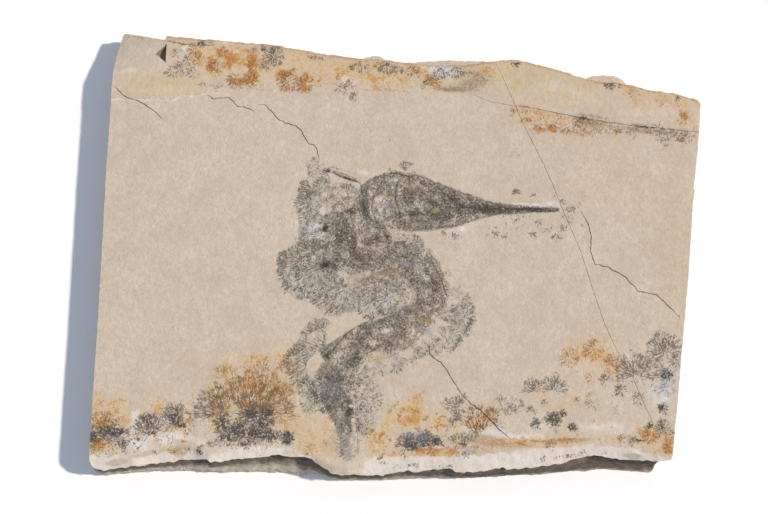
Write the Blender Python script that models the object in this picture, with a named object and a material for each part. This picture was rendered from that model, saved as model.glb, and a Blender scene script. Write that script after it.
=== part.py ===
"""A slab of lithographic limestone with a long-snouted fossil fish.

The slab lies flat on its underside. Its top is a bedding plane with thin stepped layers, a sloping
low corner, natural cracks and a broken front bevel. The fish is pressed flat in low relief: a skull
drawn out into a needle snout, an S-bent scaled trunk and one loose fin spine, each in a shallow seat.
Plan sizes are in millimetres from a point near the middle of the slab, turned to metres at the end.
"""

import math
import random

import bpy
from mathutils import Vector, geometry, noise

MM = 0.001
SLAB_THICKNESS = 18.0
BBOX_CENTRE_X = 3.692
BBOX_CENTRE_Y = 5.888

# How much the bedding plane rises and falls, and over what length.
WAVE_HEIGHT = 0.22
WAVE_LENGTH = 42.0
LUMP_HEIGHT = 0.10
LUMP_LENGTH = 9.0
SURFACE_SPACING = 7.4
SURFACE_CLEARANCE = 2.4
RIM_CLEARANCE = 0.8
RIM_PART_LENGTH = 7.0
RIM_ROUGHNESS = 0.3

# The thin top layer left along the far right edge, and the flake scar at the far left.
STRIP_HEIGHT = 0.6
STRIP_WEST_END = 26.0
STRIP_FADE = 45.0
FLAKE_HEIGHT = 0.45
STEP_WIDTH = 0.5
FLAKE_EAST_END = 22.0
FLAKE_FADE = 14.0

# The low corner, far left, sloping down from a crease.
CORNER_EAST_EDGE = -117.0
CORNER_SLOPE = 0.16
CORNER_SLOPE_REACH = 26.0
CORNER_CROSS_SLOPE = 0.06
NOTCH_DEPTH = 3.2

# The broken front bevel.
BEVEL_SLOPE = 0.52
SHELL_BREAK_DEPTH = 0.9

CRACK_HALF_WIDTH = 0.55
CRACK_DEPTH = 0.75
JOINT_HALF_WIDTH = 0.3
JOINT_DEPTH = 0.35

# The seats of the fossil pieces and the gap left all round each piece.
SEAT_DEPTH = 1.3
SEAT_GAP = 0.3
SEAT_WALL = 0.2
PIECE_UNDERSIDE = SLAB_THICKNESS - SEAT_DEPTH + SEAT_GAP
PIECE_RIM_RISE = 0.12
EDGE_ROUND = 0.45

BACK_RIM = [
    (-139.4, 120.0), (-132.0, 118.2), (-125.0, 116.8), (-117.6, 115.0), (-116.9, 117.0), (-110.0, 116.3),
    (-100.0, 115.5), (-92.0, 114.7), (-80.0, 113.8), (-72.0, 113.0), (-64.0, 112.2), (-56.0, 110.8),
    (-48.0, 109.5), (-40.0, 108.0), (-30.0, 106.2), (-22.0, 105.1), (-16.0, 104.4), (-9.0, 104.0),
    (-3.0, 103.7), (3.0, 102.8), (9.0, 102.0), (16.0, 101.4), (26.0, 101.1), (35.0, 101.0),
    (42.0, 101.8), (49.0, 103.0), (56.0, 103.9), (62.0, 103.8), (68.0, 102.8), (75.0, 101.0),
    (82.0, 99.1), (90.0, 96.5), (97.0, 93.9), (104.0, 92.3), (112.0, 91.6), (119.0, 90.5),
    (126.0, 88.9), (133.0, 87.2), (141.0, 86.1), (148.0, 84.2), (155.0, 82.3),
]
RIGHT_EDGE = [
    (156.3, 80.6), (155.9, 75.0), (155.2, 67.0), (154.4, 59.0), (153.2, 50.0), (152.0, 41.0),
    (151.0, 35.6), (151.6, 34.2), (150.5, 29.0), (149.7, 20.0), (148.7, 10.0), (147.6, 0.0),
    (146.6, -10.0), (145.3, -20.0), (143.9, -32.0), (142.4, -43.0), (141.2, -53.0), (140.0, -63.0),
    (138.8, -73.0), (137.5, -83.0), (136.3, -92.0), (135.5, -98.8),
]
FRONT_RIM = [
    (134.8, -101.6), (130.0, -102.2), (125.0, -102.0), (119.0, -101.4), (112.0, -101.0), (106.0, -100.7),
    (99.0, -99.3), (93.0, -99.6), (87.0, -101.0), (80.0, -102.6), (72.0, -104.0), (64.0, -104.8),
    (58.0, -105.5), (54.5, -105.4), (52.5, -104.6), (47.0, -105.7), (40.0, -106.7), (34.0, -107.2),
    (29.5, -106.6), (26.5, -104.9), (20.0, -105.5), (13.0, -106.4), (9.5, -106.8), (6.5, -106.1),
    (0.0, -107.2), (-8.0, -108.3), (-15.0, -108.4), (-21.0, -108.6), (-26.0, -108.9), (-31.0, -107.6),
    (-35.0, -105.2), (-39.0, -102.3), (-42.0, -100.4), (-48.0, -100.2), (-53.0, -99.9), (-56.0, -99.0),
    (-62.0, -99.7), (-69.0, -100.7), (-76.0, -100.9), (-83.0, -102.0), (-89.6, -102.6), (-91.4, -101.3),
    (-98.0, -101.1), (-104.0, -100.8), (-112.0, -102.0), (-120.0, -102.9), (-128.0, -104.4),
    (-136.0, -105.4), (-143.0, -105.9), (-147.2, -104.9),
]
LEFT_EDGE = [
    (-148.7, -102.0), (-148.6, -95.0), (-148.5, -88.0), (-148.2, -74.0), (-147.8, -60.0),
    (-147.4, -46.0), (-147.0, -32.0), (-146.8, -18.0), (-146.5, -4.0), (-146.3, 10.0), (-146.1, 24.0),
    (-146.0, 36.0), (-145.7, 50.0), (-145.2, 64.0), (-144.9, 78.0), (-144.5, 90.0), (-144.1, 98.0),
    (-143.2, 106.0), (-141.6, 114.0), (-140.3, 118.8),
]
# The foot of the front side, which is straighter than its broken rim.
FRONT_FOOT = [
    (-150.0, -105.4), (-120.0, -104.3), (-100.0, -103.9), (-95.0, -104.9), (-75.0, -105.2), (-55.0, -105.2),
    (-42.0, -106.2),
    (-30.0, -108.3), (-10.0, -108.4), (10.0, -107.4), (30.0, -107.8), (50.0, -106.8), (72.0, -105.8),
    (90.0, -103.8), (107.0, -103.3), (114.0, -104.1), (122.0, -104.5), (140.0, -104.0),
]

CORNER_CREASE = [(-150.0, 97.0), (-140.0, 97.8), (-130.0, 98.8), (-122.0, 100.2), (-117.0, 102.0)]
BEVEL_TOP = [
    (-150.0, -99.2), (-140.0, -98.6), (-132.0, -98.6), (-128.0, -99.3), (-122.0, -97.2), (-113.0, -95.6),
    (-104.0, -94.6), (-98.0, -95.7), (-94.0, -98.0), (-91.0, -99.6), (-87.0, -97.6), (-80.0, -96.5),
    (-70.0, -97.0), (-60.0, -96.3), (-50.0, -97.2), (-43.0, -98.2), (-36.0, -101.2), (-30.0, -103.6),
    (-23.0, -104.0), (-17.0, -101.6), (-9.0, -99.6), (2.0, -99.0), (20.0, -98.3), (34.0, -99.2),
    (47.0, -98.0), (58.0, -97.2), (66.0, -95.6), (80.0, -95.2), (95.0, -93.6), (106.0, -94.2),
    (117.0, -95.8), (126.0, -97.4), (132.0, -99.4), (140.0, -100.6),
]
SHELL_BREAK_WEST = -129.0
SHELL_BREAK_EAST = -91.0
STRIP_FOOT = [
    (26.0, 86.0), (35.0, 85.8), (41.0, 85.2), (46.0, 82.8), (52.0, 81.0), (60.0, 79.4), (67.0, 78.9),
    (75.0, 77.2), (84.0, 75.3), (93.0, 73.5), (100.0, 72.1), (110.0, 70.3), (121.0, 69.0), (133.0, 67.6),
    (146.0, 66.1), (158.0, 64.9),
]
FLAKE_FOOT = [
    (-150.0, 84.4), (-142.0, 83.8), (-133.0, 82.7), (-124.0, 82.6), (-114.0, 82.2), (-106.0, 84.6),
    (-98.0, 86.4), (-88.0, 87.6), (-76.0, 88.6), (-64.0, 87.2), (-50.0, 89.6), (-36.0, 91.0),
    (-22.0, 88.4), (-8.0, 87.2), (6.0, 86.6), (24.0, 86.2),
]
NOTCH = [(-122.2, 107.4), (-117.2, 112.8), (-117.4, 103.0)]
CRACKS = [
    [(-143.0, 90.0), (-139.5, 86.0), (-136.5, 84.0), (-131.0, 82.2), (-127.0, 80.0), (-122.5, 76.8),
     (-118.4, 72.8)],
    [(-95.0, 85.0), (-92.5, 83.4), (-88.5, 83.9), (-84.5, 84.0), (-80.0, 79.2), (-76.5, 79.1),
     (-71.8, 77.0)],
    [(-69.0, 80.3), (-66.6, 80.4), (-63.0, 77.2), (-59.5, 72.6), (-55.5, 70.4), (-50.0, 68.9), (-47.4, 66.5),
     (-45.2, 62.0), (-43.4, 59.2), (-41.0, 59.1), (-39.3, 56.4), (-38.1, 51.0)],
    [(94.3, 22.5), (97.6, 17.0), (98.6, 10.5), (98.0, 3.0), (100.2, -3.6), (106.6, -5.2), (115.2, -10.4),
     (121.2, -17.4), (130.2, -19.4), (136.8, -26.0), (140.6, -30.0)],
    [(17.2, -43.0), (17.1, -49.0), (18.8, -51.0), (22.4, -53.4), (25.2, -56.6), (27.6, -61.0), (30.6, -65.8),
     (33.2, -70.0), (36.8, -73.6), (42.0, -77.4), (47.0, -82.4), (51.0, -87.0), (57.0, -91.6)],
]
JOINT = [
    (52.4, 102.2), (56.0, 94.0), (61.6, 80.0), (66.8, 67.4), (74.6, 50.6), (79.2, 39.6), (84.4, 25.4),
    (88.6, 14.4), (93.2, 3.0), (98.4, -15.6), (104.2, -34.8), (109.6, -47.4), (117.8, -62.8), (123.8, -78.0),
    (129.0, -88.0),
]

SKULL_OUTLINE = [
    (-17.0, 37.0), (-13.0, 39.6), (-9.0, 41.6), (-4.5, 43.2), (0.5, 44.1), (6.0, 42.9), (12.0, 42.3),
    (17.0, 40.2), (22.0, 38.1), (29.0, 35.3), (36.0, 32.6), (43.0, 30.2), (50.0, 27.7), (58.0, 26.6),
    (66.0, 25.9), (74.0, 25.4), (82.2, 24.9), (82.0, 24.3), (74.0, 23.9), (64.0, 23.5), (54.0, 23.1),
    (47.0, 21.8), (41.0, 20.0), (35.0, 17.7), (29.0, 15.8), (22.0, 15.0), (15.0, 14.0), (8.0, 13.7),
    (2.0, 13.8), (-2.5, 11.8), (-6.0, 8.6), (-11.0, 7.6), (-15.0, 9.6), (-16.4, 13.4), (-15.0, 18.0),
    (-16.0, 22.5), (-17.4, 27.5), (-18.2, 32.0),
]
TRUNK_OUTLINE = [
    (-33.6, 34.5), (-30.0, 38.0), (-25.5, 38.6), (-22.0, 36.8), (-19.6, 33.0), (-18.7, 27.0), (-17.3, 22.0),
    (-16.6, 17.6), (-17.9, 12.6), (-16.0, 7.4), (-11.0, 5.8), (-5.0, 6.0), (1.0, 7.9), (6.5, 7.8),
    (12.0, 5.6), (17.0, 2.2), (21.0, -3.0), (23.8, -8.5), (25.6, -14.0), (25.8, -19.5), (24.2, -25.0),
    (20.8, -30.0), (16.2, -34.6), (13.0, -39.4), (9.4, -43.6), (3.0, -48.0), (-4.0, -51.2), (-11.0, -52.2),
    (-15.6, -56.0), (-18.4, -62.0), (-19.4, -70.0), (-19.2, -80.0), (-18.4, -90.0), (-17.8, -98.0),
    (-21.0, -100.4), (-26.0, -98.4), (-27.2, -90.0), (-29.6, -83.0), (-33.6, -76.6), (-36.6, -69.6),
    (-35.4, -62.6), (-30.6, -57.2), (-33.0, -53.4), (-36.2, -49.6), (-31.6, -44.2), (-24.0, -38.6),
    (-15.6, -33.8), (-7.0, -30.6), (2.0, -27.6), (8.0, -23.8), (9.2, -18.2), (5.6, -13.8), (-2.0, -12.0),
    (-12.0, -11.4), (-22.0, -10.6), (-30.0, -9.2), (-34.6, -5.0), (-35.6, 2.0), (-34.4, 10.0), (-35.2, 18.0),
    (-34.2, 26.0),
]
SPINE_PATH = [(-35.6, 45.7), (-31.0, 44.4), (-26.0, 42.4), (-22.0, 40.8), (-19.0, 39.6)]
SPINE_HALF_WIDTHS = [0.45, 1.0, 1.05, 0.9, 0.5]

# Grooves between the bones of the skull, and the hollow of the eye.
JAW_GROOVE = [(2.6, 17.6), (12.0, 17.8), (22.0, 18.9), (32.0, 21.0), (42.0, 23.0), (54.0, 24.7)]
CHEEK_GROOVE = [(2.2, 41.2), (0.4, 36.0), (0.3, 30.0), (2.0, 24.4), (2.4, 20.2)]
GILL_GROOVE = [(-7.0, 37.6), (-11.4, 31.0), (-11.8, 24.0), (-9.0, 17.0), (-5.4, 12.6)]
GROOVE_HALF_WIDTH = 0.7
GROOVE_DEPTH = 0.45
EYE_CENTRE = (13.6, 26.0)
EYE_HALF_SIZE = (6.4, 4.4)
EYE_DEPTH = 0.7
EYE_POINTS = 14

SKULL_RELIEF = 1.5
SKULL_EDGE_RUN = 7.0
TRUNK_RELIEF = 1.2
TRUNK_EDGE_RUN = 5.0
SPINE_RELIEF = 0.7
SPINE_EDGE_RUN = 1.0
BONE_LUMP = 0.35
BONE_LUMP_LENGTH = 4.6
RIB_HEIGHT = 0.28
RIB_PITCH = 9.0
PIECE_RIM_PART_LENGTH = 5.0
SKULL_SPACING = 3.6
TRUNK_SPACING = 4.4
SPINE_SPACING = 2.0

# The layers seen round the sides: how far down each ledge lies, as a share of the side's height.
UPPER_LEDGE = 0.32
LOWER_LEDGE = 0.64
LEDGE_DROP = 0.035
FOOT_ROUND = 0.05
FOOT_ROUND_REACH = 0.5
FOOT_LEDGE_REACH = 0.35
FOOT_LEDGE_WAVE = 0.5
FOOT_WAVE_LENGTH = 23.0
UNDERCUT_DEPTH = 0.16
UNDERCUT_REACH = 1.1
BACK_LEDGE_REACH = 0.7
LAYER_WAVE = 0.45
LAYER_WAVE_LENGTH = 17.0
LAYER_COUNT = 8
INSET_START = 126.0
INSET_UPPER_SHARE = 0.55
INSET_LOWER_SHARE = 0.3
INSET_FAR_END = -78.0
INSET_FADE = 18.0
DEEPEST_REACH = -1.2
# Lumps of the lower layers past the back rim: middle along X, half length and how far each stands out.
BACK_LUMPS = [(-10.0, 6.5, 3.6), (28.0, 22.0, 3.9), (109.0, 11.0, 5.0)]


def line_at(points, x):
    """Height of a line of points over x."""
    for (x0, y0), (x1, y1) in zip(points, points[1:]):
        if x <= x1 or (x1, y1) == points[-1]:
            share = min(max((x - x0) / (x1 - x0), 0.0), 1.0)
            return y0 + (y1 - y0) * share
    return points[-1][1]


def ramp(value):
    """0 below 0, 1 above 1 and straight between."""
    return min(max(value, 0.0), 1.0)


def distance_to_line(x, y, points):
    """Shortest distance from a point to an open line of points."""
    best = math.inf
    for (x0, y0), (x1, y1) in zip(points, points[1:]):
        run_x = x1 - x0
        run_y = y1 - y0
        share = ramp(((x - x0) * run_x + (y - y0) * run_y) / (run_x * run_x + run_y * run_y))
        best = min(best, math.hypot(x - x0 - run_x * share, y - y0 - run_y * share))
    return best


def inside(x, y, outline):
    """Whether a point lies inside a closed outline."""
    found = False
    for (x0, y0), (x1, y1) in zip(outline, outline[1:] + outline[:1]):
        if (y0 > y) != (y1 > y) and x < x0 + (x1 - x0) * (y - y0) / (y1 - y0):
            found = not found
    return found


def distance_out(x, y, outline):
    """Distance from a closed outline, below zero inside it."""
    gap = distance_to_line(x, y, outline + outline[:1])
    return -gap if inside(x, y, outline) else gap


def offset_outline(outline, distance):
    """The outline moved outwards; the outline runs clockwise."""
    moved = []
    count = len(outline)
    for index in range(count):
        before = Vector(outline[index - 1])
        here = Vector(outline[index])
        after = Vector(outline[(index + 1) % count])
        into = (here - before).normalized()
        away = (after - here).normalized()
        side = Vector((-into.y - away.y, into.x + away.x)).normalized()
        reach = distance / max(side.dot(Vector((-into.y, into.x))), 0.6)
        moved.append((here.x + side.x * reach, here.y + side.y * reach))
    return moved


def spine_outline():
    """The spine's outline, clockwise, from its path and half widths."""
    upper = []
    lower = []
    for index, (x, y) in enumerate(SPINE_PATH):
        before = Vector(SPINE_PATH[max(index - 1, 0)])
        after = Vector(SPINE_PATH[min(index + 1, len(SPINE_PATH) - 1)])
        along = (after - before).normalized()
        half = SPINE_HALF_WIDTHS[index]
        upper.append((x - along.y * half, y + along.x * half))
        lower.append((x + along.y * half, y - along.x * half))
    return upper + lower[::-1]


SPINE_OUTLINE = spine_outline()
SEATS = [offset_outline(outline, SEAT_GAP) for outline in (SKULL_OUTLINE, TRUNK_OUTLINE, SPINE_OUTLINE)]


def bedding_height(x, y):
    """The bedding plane with its layers, low corner and bevel, without cracks or seats."""
    height = SLAB_THICKNESS
    height += WAVE_HEIGHT * noise.noise(Vector((x, y, 3.0)) / WAVE_LENGTH)
    height += LUMP_HEIGHT * noise.noise(Vector((x, y, 60.0)) / LUMP_LENGTH)
    strip = ramp((y - line_at(STRIP_FOOT, x)) / STEP_WIDTH)
    height += STRIP_HEIGHT * strip * ramp((x - STRIP_WEST_END) / STRIP_FADE)
    if x < FLAKE_EAST_END:
        fade = ramp((FLAKE_EAST_END - x) / FLAKE_FADE)
        height += FLAKE_HEIGHT * fade * ramp((y - line_at(FLAKE_FOOT, x)) / STEP_WIDTH)
    crease = line_at(CORNER_CREASE, x)
    if x < CORNER_EAST_EDGE and y > crease:
        fall = CORNER_SLOPE * (y - crease) * ramp((CORNER_EAST_EDGE - x) / CORNER_SLOPE_REACH)
        height -= fall + CORNER_CROSS_SLOPE * (CORNER_EAST_EDGE - x) * ramp((y - crease) / FLAKE_FADE)
        if distance_out(x, y, NOTCH) < 0.0:
            height -= NOTCH_DEPTH * ramp(-distance_out(x, y, NOTCH) / STEP_WIDTH)
    bevel = line_at(BEVEL_TOP, x)
    if y < bevel:
        height -= BEVEL_SLOPE * (bevel - y)
        if SHELL_BREAK_WEST < x < SHELL_BREAK_EAST:
            height -= SHELL_BREAK_DEPTH * ramp((bevel - y) / STEP_WIDTH)
    return height


def top_height(x, y):
    """The finished top of the slab."""
    height = bedding_height(x, y)
    for crack in CRACKS:
        height -= CRACK_DEPTH * ramp(1.0 - distance_to_line(x, y, crack) / CRACK_HALF_WIDTH)
    height -= JOINT_DEPTH * ramp(1.0 - distance_to_line(x, y, JOINT) / JOINT_HALF_WIDTH)
    for seat in SEATS:
        depth = ramp(1.0 - distance_out(x, y, seat) / SEAT_WALL)
        height = height * (1.0 - depth) + (SLAB_THICKNESS - SEAT_DEPTH) * depth
    return height


def side_lines(points, distance):
    """The two lines that run beside an open line of points."""
    lines = []
    for way in (distance, -distance):
        line = []
        for index, (x, y) in enumerate(points):
            before = Vector(points[max(index - 1, 0)])
            after = Vector(points[min(index + 1, len(points) - 1)])
            along = (after - before).normalized()
            line.append((x - along.y * way, y + along.x * way))
        lines.append(line)
    return lines


def evenly_inside(outline, spacing, clear, fixed):
    """Jittered points on a grid inside an outline, kept clear of the fixed points."""
    low_x = min(x for x, y in outline)
    high_x = max(x for x, y in outline)
    low_y = min(y for x, y in outline)
    high_y = max(y for x, y in outline)
    taken = {}
    for x, y in fixed:
        taken.setdefault((int(x // clear), int(y // clear)), []).append((x, y))
    points = []
    row = 0
    y = low_y + spacing / 2
    while y < high_y:
        x = low_x + spacing * (0.25 + 0.5 * (row % 2))
        while x < high_x:
            px = x + spacing * random.uniform(-0.22, 0.22)
            py = y + spacing * random.uniform(-0.22, 0.22)
            x += spacing
            if distance_out(px, py, outline) > -clear:
                continue
            cell_x = int(px // clear)
            cell_y = int(py // clear)
            near = []
            for cell in ((i, j) for i in (-1, 0, 1) for j in (-1, 0, 1)):
                near += taken.get((cell_x + cell[0], cell_y + cell[1]), [])
            if all(math.hypot(px - qx, py - qy) > clear for qx, qy in near):
                points.append((px, py))
        y += spacing * 0.87
        row += 1
    return points


def triangulate(loops, lines, loose):
    """Triangles between closed loops, with open lines and loose points held inside them."""
    points = []
    edges = []
    for loop in loops:
        start = len(points)
        points += loop
        edges += [(start + i, start + (i + 1) % len(loop)) for i in range(len(loop))]
    for line in lines:
        start = len(points)
        points += line
        edges += [(start + i, start + i + 1) for i in range(len(line) - 1)]
    points += loose
    result = geometry.delaunay_2d_cdt([Vector(p) for p in points], edges, [], 0, 1e-5, False)
    flat = [(v.x, v.y) for v in result[0]]
    faces = []
    for a, b, c in result[2]:
        middle_x = (flat[a][0] + flat[b][0] + flat[c][0]) / 3
        middle_y = (flat[a][1] + flat[b][1] + flat[c][1]) / 3
        if inside(middle_x, middle_y, loops[0]):
            faces.append((a, b, c))
    return flat, faces


def boundary_loop(faces):
    """The outer loop of a sheet of faces, in the faces' own turning direction."""
    following = {}
    paired = {(b, a) for face in faces for a, b in zip(face, face[1:] + face[:1])}
    for face in faces:
        for a, b in zip(face, face[1:] + face[:1]):
            if (a, b) not in paired:
                following[a] = b
    start = next(iter(following))
    loop = [start]
    while following[loop[-1]] != start:
        loop.append(following[loop[-1]])
    return loop


def clip_to(outline, line):
    """The points of a line that lie well inside an outline."""
    return [p for p in line if distance_out(p[0], p[1], outline) < -RIM_CLEARANCE]


def split_long(outline, longest):
    """The closed outline with long stretches divided and roughened slightly."""
    points = []
    for (x0, y0), (x1, y1) in zip(outline, outline[1:] + outline[:1]):
        length = math.hypot(x1 - x0, y1 - y0)
        parts = max(1, round(length / longest))
        for part in range(parts):
            share = part / parts
            rough = random.uniform(-RIM_ROUGHNESS, RIM_ROUGHNESS) if part else 0.0
            shift_x = -(y1 - y0) / length * rough
            shift_y = (x1 - x0) / length * rough
            points.append((x0 + (x1 - x0) * share + shift_x, y0 + (y1 - y0) * share + shift_y))
    return points


def add_object(name, points, faces, colour, roughness):
    """A closed body from points in millimetres, with its own material."""
    moved = []
    for x, y, z in points:
        moved.append(((x - BBOX_CENTRE_X) * MM, (y - BBOX_CENTRE_Y) * MM, z * MM))
    mesh = bpy.data.meshes.new(name)
    mesh.from_pydata(moved, [], faces)
    mesh.update()
    body = bpy.data.objects.new(name, mesh)
    bpy.context.scene.collection.objects.link(body)
    material = bpy.data.materials.new(name)
    material.use_nodes = True
    shader = material.node_tree.nodes["Principled BSDF"]
    shader.inputs["Base Color"].default_value = colour
    shader.inputs["Roughness"].default_value = roughness
    shader.inputs["Metallic"].default_value = 0.0
    mesh.materials.append(material)
    return body


def outward(loop_points, index, reach):
    """Unit direction out of a counter-clockwise loop, taken over a stretch on both sides."""
    count = len(loop_points)
    here = Vector(loop_points[index][:2])
    ends = []
    for step in (-1, 1):
        other = index
        while (Vector(loop_points[other][:2]) - here).length < reach:
            other = (other + step) % count
        ends.append(Vector(loop_points[other][:2]))
    along = (ends[1] - ends[0]).normalized()
    return Vector((along.y, -along.x))


def side_reach(x, y, out, depth):
    """How far a side stands out from the rim, at a share of its height."""
    reach = EDGE_ROUND
    front = ramp(-out.y * 1.6 - 0.5)
    back = ramp(out.y * 1.6 - 0.5)
    foot = max(y - line_at(FRONT_FOOT, x), 0.0)
    undercut = UNDERCUT_REACH * ramp(1.0 - abs(depth - UNDERCUT_DEPTH) / UNDERCUT_DEPTH)
    reach += front * (foot * depth - undercut)
    if depth > UPPER_LEDGE + LEDGE_DROP / 2:
        ledge = BACK_LEDGE_REACH
        for middle, half, size in BACK_LUMPS:
            ledge += size * math.sqrt(max(1.0 - ((x - middle) / half) ** 2, 0.0))
        reach += back * ledge
    layer = round(depth * LAYER_COUNT)
    reach += LAYER_WAVE * noise.noise(Vector((x / LAYER_WAVE_LENGTH, y / LAYER_WAVE_LENGTH, layer * 1.7)))
    if depth > LOWER_LEDGE + LEDGE_DROP / 2:
        wave = noise.noise(Vector((x / FOOT_WAVE_LENGTH, y / FOOT_WAVE_LENGTH, 9.0)))
        reach += FOOT_LEDGE_REACH + FOOT_LEDGE_WAVE * wave
    return max(reach, DEEPEST_REACH)


def corner_inset(x, y, depth):
    """How far the undercut of the near right corner takes a side point back, at a share of its height."""
    share = INSET_UPPER_SHARE * ramp(depth / UPPER_LEDGE) + INSET_LOWER_SHARE * depth
    return max(x - INSET_START, 0.0) * share * ramp((INSET_FAR_END - y) / INSET_FADE)


def build_slab():
    """The slab: a triangulated top, layered sides and a flat underside."""
    rim = split_long(BACK_RIM + RIGHT_EDGE + FRONT_RIM + LEFT_EDGE, RIM_PART_LENGTH)
    lines = []
    seats = []
    for foot in (STRIP_FOOT, FLAKE_FOOT):
        for rise in (0.0, STEP_WIDTH):
            lines.append(clip_to(rim, [(x, y + rise) for x, y in foot]))
    lines.append(clip_to(rim, [p for p in CORNER_CREASE if p[0] < CORNER_EAST_EDGE]))
    for rise in (0.0, -STEP_WIDTH):
        lines.append(clip_to(rim, [(x, y + rise) for x, y in BEVEL_TOP]))
    for crack in CRACKS:
        lines.append(crack)
        lines += side_lines(crack, CRACK_HALF_WIDTH)
    lines.append(JOINT)
    lines += side_lines(JOINT, JOINT_HALF_WIDTH)
    for seat in SEATS:
        seats += [seat, offset_outline(seat, SEAT_WALL)]
    seats += [NOTCH, offset_outline(NOTCH, -STEP_WIDTH)]
    fixed = rim + [p for group in lines + seats for p in group]
    loose = evenly_inside(rim, SURFACE_SPACING, SURFACE_CLEARANCE, fixed)
    flat, faces = triangulate([rim] + seats, lines, loose)
    points = [(x, y, top_height(x, y)) for x, y in flat]
    loop = boundary_loop(faces)
    loop_points = [points[i] for i in loop]
    outs = [outward(loop_points, i, 3.0) for i in range(len(loop))]
    depths = [0.03, UNDERCUT_DEPTH, UPPER_LEDGE, UPPER_LEDGE + LEDGE_DROP, 0.5]
    depths += [LOWER_LEDGE, LOWER_LEDGE + LEDGE_DROP, 1.0 - FOOT_ROUND, 1.0]
    above = loop
    for depth in depths:
        ring = []
        for (x, y, z), out in zip(loop_points, outs):
            reach = side_reach(x, y, out, depth)
            if depth == 1.0:
                reach -= FOOT_ROUND_REACH
            ring.append(len(points))
            side_x, side_y = x + out.x * reach, y + out.y * reach
            side_x -= corner_inset(side_x, side_y, depth)
            points.append((side_x, side_y, z * (1.0 - depth)))
        for i in range(len(ring)):
            j = (i + 1) % len(ring)
            faces.append((above[j], above[i], ring[i], ring[j]))
        above = ring
    foot = [points[i][:2] for i in above]
    extra, under = triangulate([foot], [], [])
    if len(extra) != len(foot):
        raise ValueError("the underside needs points beyond its own loop")
    faces += [tuple(above[i] for i in reversed(face)) for face in under]
    return add_object("limestone_slab", points, faces, (0.62, 0.52, 0.40, 1.0), 0.92)


def eye_ring(share):
    """Points round the eye, clockwise, at a share of its size."""
    points = []
    for i in range(EYE_POINTS):
        turn = -2.0 * math.pi * i / EYE_POINTS
        x = EYE_CENTRE[0] + EYE_HALF_SIZE[0] * share * math.cos(turn)
        points.append((x, EYE_CENTRE[1] + EYE_HALF_SIZE[1] * share * math.sin(turn)))
    return points


def skull_shape(x, y):
    """The skull's own hollows: the grooves between its bones and the eye."""
    rise = 0.0
    for groove in (JAW_GROOVE, CHEEK_GROOVE, GILL_GROOVE):
        rise -= GROOVE_DEPTH * ramp(1.0 - distance_to_line(x, y, groove) / GROOVE_HALF_WIDTH)
    from_eye = math.hypot((x - EYE_CENTRE[0]) / EYE_HALF_SIZE[0], (y - EYE_CENTRE[1]) / EYE_HALF_SIZE[1])
    return rise - EYE_DEPTH * ramp((1.0 - from_eye) / 0.3)


def trunk_shape(x, y):
    """The trunk's own waves, from the ribs under the scales."""
    return RIB_HEIGHT * math.sin(2.0 * math.pi * (x * 0.5 + y) / RIB_PITCH)


def spine_shape(x, y):
    """The spine is plain."""
    return 0.0


def build_relief(name, outline, spacing, relief, run, shape, rings, lines, colour):
    """A flat-bottomed fossil piece whose top swells from its rim."""
    rim = split_long(outline, PIECE_RIM_PART_LENGTH)
    rim_count = len(rim)
    fixed = rim + [p for group in rings + lines for p in group]
    loose = evenly_inside(rim, spacing, spacing * 0.45, fixed)
    flat, faces = triangulate([rim] + rings, lines, loose)
    points = []
    for x, y in flat:
        deep = max(-distance_out(x, y, outline), 0.0)
        swell = math.sin(ramp(deep / run) * math.pi / 2)
        rise = PIECE_RIM_RISE + relief * swell
        rise += BONE_LUMP * swell * noise.noise(Vector((x, y, 5.0)) / BONE_LUMP_LENGTH)
        rise += shape(x, y) * swell
        points.append((x, y, bedding_height(x, y) + rise))
    loop = boundary_loop(faces)
    low = []
    for i in loop:
        low.append(len(points))
        points.append((points[i][0], points[i][1], PIECE_UNDERSIDE))
    for i in range(len(loop)):
        j = (i + 1) % len(loop)
        faces.append((loop[j], loop[i], low[i], low[j]))
    extra, under = triangulate([[points[i][:2] for i in low]], [], [])
    if len(extra) != rim_count:
        raise ValueError("the underside needs points beyond its own loop")
    faces += [tuple(low[i] for i in reversed(face)) for face in under]
    return add_object(name, points, faces, colour, 0.8)


def main():
    """Builds every piece in an empty scene."""
    for old in list(bpy.data.objects):
        bpy.data.objects.remove(old, do_unlink=True)
    random.seed(17)
    build_slab()
    grooves = []
    for groove in (JAW_GROOVE, CHEEK_GROOVE, GILL_GROOVE):
        grooves.append(groove)
        grooves += side_lines(groove, GROOVE_HALF_WIDTH)
    build_relief("fish_skull", SKULL_OUTLINE, SKULL_SPACING, SKULL_RELIEF, SKULL_EDGE_RUN, skull_shape,
                 [eye_ring(1.0), eye_ring(0.7)], grooves, (0.13, 0.105, 0.085, 1.0))
    build_relief("fish_trunk", TRUNK_OUTLINE, TRUNK_SPACING, TRUNK_RELIEF, TRUNK_EDGE_RUN, trunk_shape,
                 [], [], (0.155, 0.13, 0.11, 1.0))
    build_relief("fin_spine", SPINE_OUTLINE, SPINE_SPACING, SPINE_RELIEF, SPINE_EDGE_RUN, spine_shape,
                 [], [], (0.05, 0.042, 0.036, 1.0))


main()
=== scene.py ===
import math
import random

import bpy
import numpy as np
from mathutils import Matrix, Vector, geometry, kdtree, noise


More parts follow.
